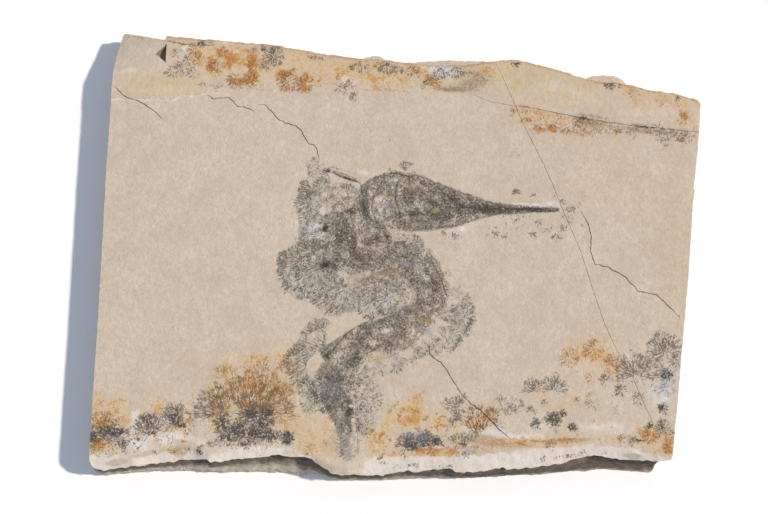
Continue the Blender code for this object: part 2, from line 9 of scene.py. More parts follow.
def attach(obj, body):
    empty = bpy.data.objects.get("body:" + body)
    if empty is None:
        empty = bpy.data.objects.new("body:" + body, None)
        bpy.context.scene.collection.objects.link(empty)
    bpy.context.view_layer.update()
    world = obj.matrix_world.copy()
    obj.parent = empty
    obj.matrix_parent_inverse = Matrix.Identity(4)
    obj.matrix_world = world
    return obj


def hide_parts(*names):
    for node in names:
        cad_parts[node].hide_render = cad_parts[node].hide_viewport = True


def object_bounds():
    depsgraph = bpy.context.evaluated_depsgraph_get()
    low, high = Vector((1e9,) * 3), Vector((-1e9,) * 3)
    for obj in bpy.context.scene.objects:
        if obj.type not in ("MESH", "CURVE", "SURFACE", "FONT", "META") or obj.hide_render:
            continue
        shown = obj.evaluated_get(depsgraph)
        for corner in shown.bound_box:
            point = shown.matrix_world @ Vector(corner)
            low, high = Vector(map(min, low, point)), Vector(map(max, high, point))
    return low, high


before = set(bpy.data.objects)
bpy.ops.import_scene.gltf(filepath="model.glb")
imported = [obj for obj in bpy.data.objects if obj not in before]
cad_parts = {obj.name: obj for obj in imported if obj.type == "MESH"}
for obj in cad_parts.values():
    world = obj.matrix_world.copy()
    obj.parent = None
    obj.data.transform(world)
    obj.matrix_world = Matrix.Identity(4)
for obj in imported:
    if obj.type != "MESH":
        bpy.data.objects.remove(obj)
cad_low, cad_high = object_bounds()

# ---------------------------------------------------------------------------------------------
# The slab's outline and bedding. A plate of lithographic limestone, split by hand along its
# bedding: straight natural joints left and right, a wavy broken back rim and a front rim with a
# fresh bevel. Plan sizes are in millimetres, moved at the end so that the box is centred.
MM = 0.001
CENTRE = np.array([3.692, 5.888])
THICKNESS = 18.0
BACK_RIM = [
    (-139.4, 120), (-132, 118.2), (-125, 116.8), (-117.6, 115), (-116.9, 117), (-110, 116.3), (-100, 115.5),
    (-92, 114.7), (-80, 113.8), (-72, 113), (-64, 112.2), (-56, 110.8), (-48, 109.5), (-40, 108),
    (-30, 106.2), (-22, 105.1), (-16, 104.4), (-9, 104), (-3, 103.7), (3, 102.8), (9, 102), (16, 101.4),
    (26, 101.1), (35, 101), (42, 101.8), (49, 103), (56, 103.9), (62, 103.8), (68, 102.8), (75, 101),
    (82, 99.1), (90, 96.5), (97, 93.9), (104, 92.3), (112, 91.6), (119, 90.5), (126, 88.9), (133, 87.2),
    (141, 86.1), (148, 84.2), (155, 82.3),
]
RIGHT_EDGE = [
    (156.3, 80.6), (155.9, 75), (155.2, 67), (154.4, 59), (153.2, 50), (152, 41), (151, 35.6),
    (151.6, 34.2), (150.5, 29), (149.7, 20), (148.7, 10), (147.6, 0), (146.6, -10), (145.3, -20),
    (143.9, -32), (142.4, -43), (141.2, -53), (140, -63), (138.8, -73), (137.5, -83), (136.3, -92),
    (135.5, -98.8),
]
FRONT_RIM = [
    (134.8, -101.6), (130, -102.2), (125, -102), (119, -101.4), (112, -101), (106, -100.7), (99, -99.3),
    (93, -99.6), (87, -101), (80, -102.6), (72, -104), (64, -104.8), (58, -105.5), (54.5, -105.4),
    (52.5, -104.6), (47, -105.7), (40, -106.7), (34, -107.2), (29.5, -106.6), (26.5, -104.9), (20, -105.5),
    (13, -106.4), (9.5, -106.8), (6.5, -106.1), (0, -107.2), (-8, -108.3), (-15, -108.4), (-21, -108.6),
    (-26, -108.9), (-31, -107.6), (-35, -105.2), (-39, -102.3), (-42, -100.4), (-48, -100.2), (-53, -99.9),
    (-56, -99), (-62, -99.7), (-69, -100.7), (-76, -100.9), (-83, -102), (-89.6, -102.6), (-91.4, -101.3),
    (-98, -101.1), (-104, -100.8), (-112, -102), (-120, -102.9), (-128, -104.4), (-136, -105.4),
    (-143, -105.9), (-147.2, -104.9),
]
LEFT_EDGE = [
    (-148.7, -102), (-148.6, -95), (-148.5, -88), (-148.2, -74), (-147.8, -60), (-147.4, -46), (-147, -32),
    (-146.8, -18), (-146.5, -4), (-146.3, 10), (-146.1, 24), (-146, 36), (-145.7, 50), (-145.2, 64),
    (-144.9, 78), (-144.5, 90), (-144.1, 98), (-143.2, 106), (-141.6, 114), (-140.3, 118.8),
]
# The foot of the front side, where it stands out in front of the rim.
FRONT_FOOT = [
    (-150, -105.4), (-120, -104.3), (-100, -103.9), (-95, -104.9), (-75, -105.2), (-55, -105.2),
    (-42, -106.2), (-30, -108.3), (-10, -108.4), (10, -107.4), (30, -107.8), (50, -106.8), (72, -105.8),
    (90, -103.8), (107, -103.3), (114, -104.1), (122, -104.5), (140, -104),
]
# The low far left corner: where it ends, the crease it falls from, its two falls and its notch.
CORNER_EAST = -117.0
CORNER_CREASE = [(-150, 97), (-140, 97.8), (-130, 98.8), (-122, 100.2), (-117, 102)]
CORNER_FALLS = (0.16, 0.06)
NOTCH = [(-122.2, 107.4), (-117.2, 112.8), (-117.4, 103)]
NOTCH_DEPTH = 3.2
# Where the bevel along the front starts, its final slope and how softly it begins.
BEVEL_TOP = [
    (-150, -99.2), (-140, -98.6), (-132, -98.6), (-128, -99.3), (-122, -97.2), (-113, -95.6), (-104, -94.6),
    (-98, -95.7), (-94, -98), (-91, -99.6), (-87, -97.6), (-80, -96.5), (-70, -97), (-60, -96.3),
    (-50, -97.2), (-43, -98.2), (-36, -101.2), (-30, -103.6), (-23, -104), (-17, -101.6), (-9, -99.6),
    (2, -99), (20, -98.3), (34, -99.2), (47, -98), (58, -97.2), (66, -95.6), (80, -95.2), (95, -93.6),
    (106, -94.2), (117, -95.8), (126, -97.4), (132, -99.4), (140, -100.6),
]
BEVEL_SLOPE, BEVEL_SOFTNESS = 0.62, 1.4
# The raised strip far right and the thin flake far left: the foot, the width and height of the
# step, where it fades out and over how much.
STRIP_FOOT = [
    (26, 86), (35, 85.8), (41, 85.2), (46, 82.8), (52, 81), (60, 79.4), (67, 78.9), (75, 77.2), (84, 75.3),
    (93, 73.5), (100, 72.1), (110, 70.3), (121, 69), (133, 67.6), (146, 66.1), (158, 64.9),
]
STRIP_STEP, STRIP_RISE, STRIP_END, STRIP_FADE = 0.3, 0.6, 26.0, 45.0
FLAKE_FOOT = [
    (-150, 84.4), (-142, 83.8), (-133, 82.7), (-124, 82.6), (-114, 82.2), (-106, 84.6), (-98, 86.4),
    (-88, 87.6), (-76, 88.6), (-64, 87.2), (-50, 89.6), (-36, 91), (-22, 88.4), (-8, 87.2), (6, 86.6),
    (24, 86.2),
]
FLAKE_STEP, FLAKE_RISE, FLAKE_END, FLAKE_FADE = 0.7, 0.32, 22.0, 14.0
# Shell-shaped breaks in the bevel: middle, reach and depth.
SHELL_BREAKS = [
    (-111, -105, 8.6, 1), (-134, -107.6, 6, 0.5), (-96, -104, 6, 0.7), (116, -104, 5.4, 1.1),
    (60, -108, 6.4, 0.5), (20, -108.6, 5.6, 0.4), (-66, -103, 5, 0.4), (92, -103, 5, 0.5),
]
# The waves of the bedding plane: height, length, place in the noise and octaves.
BEDDING_WAVES = [(0.22, 42.0, 3.0 / 42.0, 1), (0.08, 9.0, 60.0 / 9.0, 1), (0.035, 2.2, 4.0, 3)]


def line_at(line, x):
    """Height of a line of points over each x."""
    return np.interp(x, [p[0] for p in line], [p[1] for p in line])


def ramp(value):
    """The value held between 0 and 1."""
    return np.clip(value, 0.0, 1.0)


def field(points, length, seed, octaves=1):
    """Smooth noise from about -1 to 1 over the plan, with features of this length in millimetres."""
    if octaves == 1:
        return np.array([noise.noise(Vector((x / length, y / length, seed))) for x, y in points])
    return np.array([noise.fractal(Vector((x / length, y / length, seed)), 1.0, 2.0, octaves)
                     for x, y in points])


def follow(points, line):
    """Each point's distance from an open line, how many of its parts it is along it, and its side."""
    line = np.asarray(line, float)
    best, place, side = np.full(len(points), 1e9), np.zeros(len(points)), np.zeros(len(points))
    for index, (start, end) in enumerate(zip(line[:-1], line[1:])):
        run = end - start
        share = np.clip((points - start) @ run / (run @ run), 0.0, 1.0)
        rest = points - start - share[:, None] * run
        gap = np.hypot(*rest.T)
        nearer = gap < best
        place = np.where(nearer, index + share, place)
        side = np.where(nearer, gap * np.sign(run[0] * rest[:, 1] - run[1] * rest[:, 0]), side)
        best = np.where(nearer, gap, best)
    return best, place, side


def distance_to(points, line):
    """Distance of each point from an open line of points."""
    return follow(points, line)[0]


def inside(points, outline):
    """Whether each point lies inside a closed outline."""
    found = np.zeros(len(points), bool)
    x, y = points.T
    for (x0, y0), (x1, y1) in zip(outline, list(outline[1:]) + [outline[0]]):
        if y0 == y1:
            continue
        found ^= ((y0 > y) != (y1 > y)) & (x < x0 + (x1 - x0) * (y - y0) / (y1 - y0))
    return found


def distance_out(points, outline):
    """Distance of each point from a closed outline, below zero inside it."""
    gap = distance_to(points, list(outline) + [outline[0]])
    return np.where(inside(points, outline), -gap, gap)


def offset_outline(outline, distance):
    """The clockwise outline moved outwards."""
    line = np.asarray(outline, float)
    into = line - np.roll(line, 1, 0)
    away = np.roll(into, -1, 0)
    into /= np.hypot(*into.T)[:, None]
    away /= np.hypot(*away.T)[:, None]
    side = np.stack([-(into + away)[:, 1], (into + away)[:, 0]], 1)
    side /= np.hypot(*side.T)[:, None]
    fit = np.maximum(side[:, 0] * -into[:, 1] + side[:, 1] * into[:, 0], 0.6)
    return line + side * (distance / fit)[:, None]


def roughen(line, step, amount, length, seed, closed=False):
    """The line with a point every step, moved off its run by noise; its ends stay."""
    line = np.asarray(line, float)
    if closed:
        line = np.vstack([line, line[:1]])
    made = []
    for start, end in zip(line[:-1], line[1:]):
        run = end - start
        size = math.hypot(*run)
        parts = max(1, round(size / step))
        side = np.array([-run[1], run[0]]) / size
        for part in range(parts):
            point = start + run * (part / parts)
            coarse, fine = point / length, point / step / 2.3
            shift = amount * noise.noise(Vector((*coarse, seed)))
            shift += amount * 0.35 * noise.noise(Vector((*fine, seed + 7.0)))
            made.append(point + side * shift)
    if not closed:
        made.append(line[-1])
    return np.array(made)


strip_foot = roughen(STRIP_FOOT, 0.9, 0.45, 4.0, 21.0)
flake_foot = roughen(FLAKE_FOOT, 0.9, 1.6, 7.0, 22.0)
corner_crease = roughen(CORNER_CREASE, 0.9, 0.3, 3.0, 24.0)


def bedding_height(points):
    """Height of the bedding plane in millimetres, with its layers, low corner and bevel."""
    x, y = points.T
    height = np.full(len(points), THICKNESS)
    for size, length, seed, octaves in BEDDING_WAVES:
        height += size * field(points, length, seed, octaves)
    strip = ramp((y - line_at(strip_foot, x)) / STRIP_STEP)
    height += STRIP_RISE * strip * ramp((x - STRIP_END) / STRIP_FADE)
    flake = ramp((y - line_at(flake_foot, x)) / FLAKE_STEP)
    height += FLAKE_RISE * flake * ramp((FLAKE_END - x) / FLAKE_FADE)
    crease = line_at(corner_crease, x)
    low = (x < CORNER_EAST) & (y > crease)
    fall = CORNER_FALLS[0] * (y - crease) * ramp((CORNER_EAST - x) / 26.0)
    fall += CORNER_FALLS[1] * (CORNER_EAST - x) * ramp((y - crease) / 14.0)
    height -= np.where(low, fall, 0.0)
    height -= NOTCH_DEPTH * ramp(-distance_out(points, NOTCH) / 0.5) * low
    drop = np.maximum(line_at(BEVEL_TOP, x) - y + 0.5 * field(points, 5.0, 29.0), 0.0)
    height -= BEVEL_SLOPE * drop ** 2 / (drop + BEVEL_SOFTNESS)
    height += ramp(drop / 2.5) * (0.3 * field(points, 9.0, 30.0) + 0.12 * field(points, 2.6, 31.0, 3))
    for middle_x, middle_y, reach, depth in SHELL_BREAKS:
        away = np.hypot((x - middle_x) * 0.62, y - middle_y) + 0.4 * field(points, 4.0, middle_x)
        height -= depth * ramp((reach - away) / (0.55 * reach)) * ramp((reach - away) / 0.3)
    return height


# ---------------------------------------------------------------------------------------------
# The fish's seats and the cracks. The stone is hollowed under skull, trunk and spine, which keep
# their own, slightly ragged rims. Five open cracks and one straight hairline joint cross the
# stone without parting it.
SKULL_OUTLINE = [
    (-17, 37), (-13, 39.6), (-9, 41.6), (-4.5, 43.2), (0.5, 44.1), (6, 42.9), (12, 42.3), (17, 40.2),
    (22, 38.1), (29, 35.3), (36, 32.6), (43, 30.2), (50, 27.7), (58, 26.6), (66, 25.9), (74, 25.4),
    (82.2, 24.9), (82, 24.3), (74, 23.9), (64, 23.5), (54, 23.1), (47, 21.8), (41, 20), (35, 17.7),
    (29, 15.8), (22, 15), (15, 14), (8, 13.7), (2, 13.8), (-2.5, 11.8), (-6, 8.6), (-11, 7.6), (-15, 9.6),
    (-16.4, 13.4), (-15, 18), (-16, 22.5), (-17.4, 27.5), (-18.2, 32),
]
TRUNK_OUTLINE = [
    (-33.6, 34.5), (-30, 38), (-25.5, 38.6), (-22, 36.8), (-19.6, 33), (-18.7, 27), (-17.3, 22),
    (-16.6, 17.6), (-17.9, 12.6), (-16, 7.4), (-11, 5.8), (-5, 6), (1, 7.9), (6.5, 7.8), (12, 5.6),
    (17, 2.2), (21, -3), (23.8, -8.5), (25.6, -14), (25.8, -19.5), (24.2, -25), (20.8, -30), (16.2, -34.6),
    (13, -39.4), (9.4, -43.6), (3, -48), (-4, -51.2), (-11, -52.2), (-15.6, -56), (-18.4, -62),
    (-19.4, -70), (-19.2, -80), (-18.4, -90), (-17.8, -98), (-21, -100.4), (-26, -98.4), (-27.2, -90),
    (-29.6, -83), (-33.6, -76.6), (-36.6, -69.6), (-35.4, -62.6), (-30.6, -57.2), (-33, -53.4),
    (-36.2, -49.6), (-31.6, -44.2), (-24, -38.6), (-15.6, -33.8), (-7, -30.6), (2, -27.6), (8, -23.8),
    (9.2, -18.2), (5.6, -13.8), (-2, -12), (-12, -11.4), (-22, -10.6), (-30, -9.2), (-34.6, -5), (-35.6, 2),
    (-34.4, 10), (-35.2, 18), (-34.2, 26),
]
SPINE_PATH = [(-35.6, 45.7), (-31, 44.4), (-26, 42.4), (-22, 40.8), (-19, 39.6)]
# Its half width at each of these points.
SPINE_HALF_WIDTHS = np.array([0.414, 0.92, 0.966, 0.828, 0.46])
SEAT_FLOOR = THICKNESS - 1.3
CRACKS = [
    [(-143, 90), (-139.5, 86), (-136.5, 84), (-131, 82.2), (-127, 80), (-122.5, 76.8), (-118.4, 72.8)],
    [(-95, 85), (-92.5, 83.4), (-88.5, 83.9), (-84.5, 84), (-80, 79.2), (-76.5, 79.1), (-71.8, 77)],
    [(-69, 80.3), (-66.6, 80.4), (-63, 77.2), (-59.5, 72.6), (-55.5, 70.4), (-50, 68.9), (-47.4, 66.5),
     (-45.2, 62), (-43.4, 59.2), (-41, 59.1), (-39.3, 56.4), (-38.1, 51)],
    [(94.3, 22.5), (97.6, 17), (98.6, 10.5), (98, 3), (100.2, -3.6), (106.6, -5.2), (115.2, -10.4),
     (121.2, -17.4), (130.2, -19.4), (136.8, -26), (140.6, -30)],
    [(17.2, -43), (17.1, -49), (18.8, -51), (22.4, -53.4), (25.2, -56.6), (27.6, -61), (30.6, -65.8),
     (33.2, -70), (36.8, -73.6), (42, -77.4), (47, -82.4), (51, -87), (57, -91.6)],
]
JOINT = [
    (52.4, 102.2), (56, 94), (61.6, 80), (66.8, 67.4), (74.6, 50.6), (79.2, 39.6), (84.4, 25.4),
    (88.6, 14.4), (93.2, 3), (98.4, -15.6), (104.2, -34.8), (109.6, -47.4), (117.8, -62.8), (123.8, -78),
    (129, -88),
]
CRACK_HALF, CRACK_DEPTH = 0.32, 0.6
JOINT_HALF, JOINT_DEPTH = 0.2, 0.25


def sideways(line):
    """The unit vectors to the left of a line at its points."""
    along = np.gradient(line, axis=0)
    along /= np.hypot(*along.T)[:, None]
    return np.stack([-along[:, 1], along[:, 0]], 1)


def closing(share):
    """How wide a crack still is at a share of its run: full in the middle, narrow at both ends."""
    return np.clip(np.minimum(share, 1.0 - share) / 0.08, 0.3, 1.0)


def closeness(points, line, half):
    """1 on the line and 0 at half a width from it, which narrows towards both ends."""
    gap, place, _ = follow(points, line)
    width = half * closing(place / (len(line) - 1))
    near = gap < 2.0
    width[near] *= np.clip(0.85 + 0.9 * field(points[near], 7.0, 12.0), 0.25, 1.35)
    return ramp(1.0 - gap / width)


def beside(line, half):
    """The two lines that run along both sides of an open line, closing in at its ends."""
    side = sideways(line) * (half * closing(np.linspace(0.0, 1.0, len(line))))[:, None]
    return [line + side, line - side]


spine_path = np.array(SPINE_PATH)
spine_side = sideways(spine_path) * SPINE_HALF_WIDTHS[:, None]
spine_outline = np.vstack([spine_path + spine_side, (spine_path - spine_side)[::-1]])
skull_rim = roughen(SKULL_OUTLINE, 0.8, 0.25, 2.0, 5.0, True)
trunk_rim = roughen(TRUNK_OUTLINE, 0.8, 0.4, 2.4, 9.0, True)
spine_rim = roughen(spine_outline, 0.8, 0.1, 2.0, 13.0, True)
fossil_rims = [skull_rim, trunk_rim, spine_rim]
cracks = [roughen(crack, 0.8, 0.4, 2.4, 25.0) for crack in CRACKS]
joint = roughen(JOINT, 0.8, 0.16, 1.5, 26.0)


# ---------------------------------------------------------------------------------------------
# The mineral branching. Manganese and iron oxides crept in along the bedding from the cracks and
# the broken rims, and round the fish, and dried as flat fronds. Each frond is grown from a root:
# x, y, heading, spread, reach, stems, strength. They are only colour and lie in the surface.
FROND_STEP = 0.7
FROND_CROWD = 0.9
# The turns in radians that a growing tip tries, how it wanders and how often it forks.
TIP_TURNS = (0.0, 0.5, -0.5, 0.95, -0.95)
TIP_WANDER = 0.11
FORK_SHARE = 0.26
# From this reach on, a tuft is a smaller, fainter middle with fans round its rim, this far apart.
LARGE_TUFT, MIDDLE_REACH, MIDDLE_STRENGTH, FAN_APART = 7.0, 0.7, 0.84, 3.4
# Spread and stems of a fan, of a frond in a fringe and of a loose speck.
FAN, FRINGE, SPECK = (95, 4), (70, 3), (300, 2)
FISH_TUFTS = [
    # Behind and above the head.
    (-37, 46.2, 172, 130, 8.5, 7, 0.6), (5.6, 44.8, 92, 90, 6.2, 6, 0.8), (-1.5, 44.2, 105, 60, 4, 3, 0.6),
    (9.4, 42.6, 70, 90, 3, 4, 0.9), (14.5, 40.8, 60, 90, 2.6, 3, 0.8), (-32, 35, 150, 110, 12, 7, 0.7),
    (-33, 29, 178, 80, 17, 8, 0.75), (-34, 21, 182, 70, 16, 8, 0.75), (-35, 12, 190, 80, 15, 8, 0.75),
    (-24, 30, 120, 360, 9, 9, 0.9), (-30, 16, 180, 360, 9, 9, 0.9),
    # The round lobe left of the first bend and those below it.
    (-44, -7, 180, 360, 16.5, 16, 0.8), (-38, -5, 180, 300, 15, 12, 0.95), (-34, -5.5, 90, 360, 5, 9, 1.2),
    (-25, -16, 250, 260, 15, 14, 0.85), (-31, -21, 235, 120, 11, 8, 0.75), (-31, -34, 172, 80, 7.5, 5, 0.7),
    (-34, -46.5, 150, 120, 15.5, 10, 0.75), (-33, -48.5, 90, 360, 5, 8, 1.1),
    (-43.5, -55.5, 178, 200, 12.5, 13, 0.7), (-3, -21, 200, 360, 11, 13, 0.9), (3, -17, 60, 300, 6, 7, 0.8),
    (-12, -24, 200, 200, 9, 8, 0.8),
    # Right of the second bend.
    (20.5, -30.5, 4, 56, 21.5, 9, 0.76), (19.5, -35.5, -26, 50, 17, 7, 0.74),
    (17.5, -39, -55, 60, 12.5, 6, 0.75), (25.2, -11, 50, 80, 5.5, 5, 0.6),
    (25.6, -19, -2, 90, 10.5, 6, 0.55), (8.5, -44.5, -52, 70, 9.5, 6, 0.75),
    (13.8, -41.5, -75, 60, 10, 6, 0.7), (0, -49.5, -66, 90, 11, 7, 0.65), (-8, -52, -80, 90, 9.5, 6, 0.6),
    (9.5, 6.8, 15, 150, 6.5, 7, 0.9), (17, 1.5, 35, 90, 4, 4, 0.7), (24.5, 14.6, -75, 60, 4.2, 4, 0.7),
    (30, 14.4, -60, 60, 7, 4, 0.55), (52, 22.4, -80, 100, 3, 4, 0.5),
    # Round the tail.
    (-28, -62, 90, 360, 12, 14, 1), (-32, -68, 180, 360, 11, 12, 1.1), (-24, -73, 0, 360, 11, 12, 1),
    (-22, -81, 0, 360, 9, 10, 0.95), (-37, -69, 182, 140, 12.5, 11, 0.7), (-19, -63, 15, 90, 12, 9, 0.65),
    (-18.6, -71, 2, 100, 13, 10, 0.65), (-18.4, -80, -12, 110, 12.5, 10, 0.65),
    (-22, -90, 270, 360, 7, 8, 0.75), (-23, -99, 270, 360, 5, 6, 0.6), (-17, -86, -20, 120, 6, 7, 0.95),
]
MANGANESE_FRONDS = [
    # Front left.
    (-141, -92, 92, 190, 11, 13, 1.05), (-148, -89, 80, 150, 6.5, 7, 1),
    (-134.5, -92, 90, 200, 7.5, 8, 1.05), (-131, -96, 200, 200, 3.5, 5, 0.9),
    (-119.8, -90, 93, 120, 13, 11, 1.05), (-121, -86, 150, 90, 6.5, 5, 1),
    (-106.5, -86, 118, 90, 13.5, 9, 1), (-110, -79, 120, 120, 5.5, 6, 0.9),
    (-104, -84, 60, 90, 4.5, 4, 0.8), (-89.5, -95.3, 80, 180, 4.2, 6, 0.8),
    (-116, -99, 80, 170, 3.5, 6, 0.6), (-94.5, -97, 140, 160, 3.4, 5, 1),
    # The big bush on the front left.
    (-84, -80, 138, 100, 18, 12, 0.8), (-76, -77, 103, 34, 16.5, 6, 0.7), (-70, -80, 78, 130, 21, 14, 0.62),
    (-70, -79.5, 60, 360, 7.5, 12, 1.3), (-63.5, -79, 20, 250, 6.5, 9, 1.2),
    (-84, -83.5, 90, 360, 6, 9, 1.2), (-81.5, -89, 90, 360, 6, 9, 1.2), (-74.5, -88, 90, 360, 7.5, 11, 1.3),
    (-68, -88, 90, 360, 7, 10, 1.25), (-62.5, -90, 60, 360, 5.5, 9, 1.25), (-56.5, -90, 60, 360, 4, 6, 0.9),
    (-72, -94.5, 270, 360, 3.5, 6, 1), (-86, -93, 90, 360, 3.4, 6, 1),
    (-52.4, -91.2, 90, 360, 4.6, 8, 1.25), (-57, -76.5, 30, 120, 6, 5, 0.7),
    # Front middle.
    (7, -95, 95, 170, 8, 11, 1.3), (14.5, -94, 80, 170, 7.5, 10, 1.3), (20, -94, 70, 170, 5.2, 7, 1.25),
    (10.5, -94.5, 90, 300, 4.5, 7, 1.2), (31, -77.5, 112, 110, 9.5, 8, 0.85),
    (29, -75, 180, 120, 3.5, 4, 0.8), (41, -90, 96, 80, 15, 12, 0.5), (31, -82, 110, 60, 7, 5, 0.8),
    (46, -82, 60, 90, 8, 5, 0.7), (33.6, -95.5, 92, 120, 9.5, 8, 0.85), (35, -99, 90, 330, 3, 6, 0.8),
    (28, -86.5, 90, 60, 6.5, 4, 0.7), (25.5, -89, 60, 100, 4, 4, 0.6), (49.5, -85, 40, 200, 5, 6, 0.8),
    # Front right.
    (68.6, -68, 92, 190, 7.5, 9, 0.85), (78, -67.5, 84, 190, 9, 10, 0.85), (55, -81, 72, 90, 12.5, 7, 0.6),
    (67, -78, 90, 200, 4, 5, 0.8), (69.5, -84.5, 120, 200, 4.2, 6, 1.1), (74, -74, 90, 300, 3.5, 5, 0.7),
    (77.5, -82, 60, 320, 5.2, 6, 1.25), (82.5, -79, 90, 300, 3, 5, 1.1), (87, -86, 10, 360, 3.2, 8, 1.35),
    (79, -88, 90, 360, 2.5, 4, 0.7), (103.5, -62.5, 120, 300, 4.2, 6, 0.9),
    (110.8, -67.5, 90, 330, 4.2, 7, 1), (90, -73, 90, 360, 3.4, 5, 0.55), (97, -74, 90, 360, 4.6, 6, 0.55),
    (108.5, -77.5, 90, 360, 3.6, 5, 0.5), (118.5, -60, 92, 210, 11.5, 13, 0.9),
    (124, -58, 60, 200, 8, 9, 0.85), (133.5, -48.5, 90, 300, 11.5, 16, 0.85),
    (134, -59.6, 20, 300, 4.4, 6, 1.2), (139, -52.5, 90, 360, 5.5, 7, 0.9), (128, -54, 120, 300, 6, 8, 0.8),
    (119.5, -72, 100, 330, 4.6, 8, 0.8), (131.5, -76.5, 100, 360, 4, 7, 1),
    (133, -66, 100, 360, 6.5, 9, 0.55), (125, -85, 90, 300, 2.8, 4, 1.1),
    (131.5, -86.5, 90, 360, 5.6, 9, 0.9), (136.5, -92, 90, 360, 3, 5, 0.7),
    (111, -91.5, 90, 330, 3.4, 5, 0.8), (117, -93, 90, 300, 3.6, 6, 1), (92, -99.5, 90, 170, 4.2, 7, 0.6),
    (76, -95.2, 90, 250, 3.8, 6, 0.8),
    # The back rim.
    (-109.5, 100, 90, 360, 5.5, 9, 0.8), (-114, 97.5, 250, 360, 4.6, 7, 0.7),
    (-103, 97, 270, 360, 4.6, 8, 0.7), (-106, 104, 90, 360, 4.2, 6, 0.8), (-112, 108, 90, 360, 4.2, 6, 0.6),
    (-98.4, 112.8, 60, 360, 3.2, 6, 1.1), (-94, 114.4, 300, 200, 2.6, 5, 0.8),
    (-61.8, 106.6, 250, 360, 6.6, 13, 1.05), (-65.5, 102, 250, 360, 4.2, 7, 0.95),
    (-67, 110.6, 0, 300, 3, 5, 1.1), (-59, 110, 300, 200, 3.4, 5, 0.9), (-72, 109.6, 0, 360, 2.8, 4, 0.7),
    (-41.5, 106.8, -90, 170, 4.2, 7, 0.95), (-37.6, 106.4, -90, 150, 3.6, 6, 0.95),
    (-28.6, 89.6, -30, 200, 4.2, 7, 0.85), (-24.6, 87.6, -20, 300, 3.6, 6, 0.75),
    (-20.6, 84.6, -60, 360, 3.6, 8, 0.9), (-18, 103.6, -92, 130, 7.6, 9, 0.9),
    (-3.6, 103.2, -92, 130, 8.8, 13, 1.05), (0.6, 101.5, -70, 80, 6.5, 6, 0.9),
    (9, 101.6, -86, 90, 7, 7, 0.85), (24.4, 100.4, -92, 110, 7.4, 10, 0.95),
    (31.5, 100.8, -86, 110, 8, 10, 0.95), (17, 101.3, -60, 120, 3, 5, 0.8),
    (38.5, 99.5, -90, 150, 5, 6, 0.75), (62.4, 102.6, -92, 190, 3.6, 8, 1.1), (16, 90.5, 0, 360, 4, 6, 0.6),
    (20.5, 93.5, 0, 360, 3.2, 5, 0.7), (45, 96, -90, 200, 5, 6, 0.7), (50.5, 96.5, -90, 200, 3, 5, 0.7),
    (110.5, 90.8, 0, 360, 4, 9, 1.15), (115.5, 90.3, 0, 300, 2.4, 5, 1), (145, 83.5, 0, 300, 2.4, 5, 1.1),
    (96.6, 72.6, 90, 150, 2.8, 6, 1), (137.5, 58, 90, 300, 2.4, 4, 0.8), (147, 61.5, 90, 360, 2.4, 4, 0.9),
    # Sprigs round the beak.
    (84.4, 27.2, 60, 120, 3, 5, 1.1), (86, 24.6, 0, 60, 4.6, 4, 1.2), (89.5, 24.8, 0, 160, 2.6, 4, 1.2),
    (86.4, 20.6, -30, 110, 5, 5, 0.85), (83.8, 16.4, -60, 100, 5, 5, 0.9),
    (81.4, 12.4, -80, 120, 4.8, 7, 1), (69.6, 13, -90, 160, 3.4, 6, 1.2), (72.4, 19.6, -80, 140, 4, 6, 0.9),
    (61.6, 33, 90, 200, 3.2, 6, 1.3), (70, 31.6, 90, 200, 2, 4, 1.2), (51, 12.8, -90, 200, 2.8, 5, 1.1),
    (55.4, 11.4, -80, 200, 2.6, 5, 1.1), (46.6, 11.4, -90, 300, 1.6, 4, 1.2),
    (65.6, 21.8, -90, 100, 2.4, 4, 1.1), (61.9, 20.4, -90, 100, 2.4, 4, 1.2),
    (24.6, 14, -80, 90, 3.4, 5, 1.3), (29.4, 13.8, -64, 60, 5.4, 6, 1.2), (77, 15, -100, 140, 3.6, 5, 0.9),
    # Small sprigs alone on the plain stone.
    (-2, 61, 90, 360, 1.8, 5, 0.8), (5, 60, 90, 300, 1.1, 3, 0.5), (10, 78.4, 0, 300, 1.2, 3, 0.6),
    (17, 79.6, 0, 300, 2, 4, 0.4), (22, 80.4, 0, 300, 1.6, 3, 0.4), (27, 79, 0, 200, 2, 3, 0.4),
    (61.4, 33.6, 300, 200, 2, 4, 0.5), (53.4, 49.4, 300, 120, 3, 3, 0.5), (-6.8, 45, 90, 60, 1.4, 2, 0.5),
    (-13.8, 44.8, 90, 90, 1.2, 2, 0.5), (61, 76.6, 90, 300, 2, 4, 0.7), (108, 74.4, 0, 300, 0.9, 3, 0.7),
]
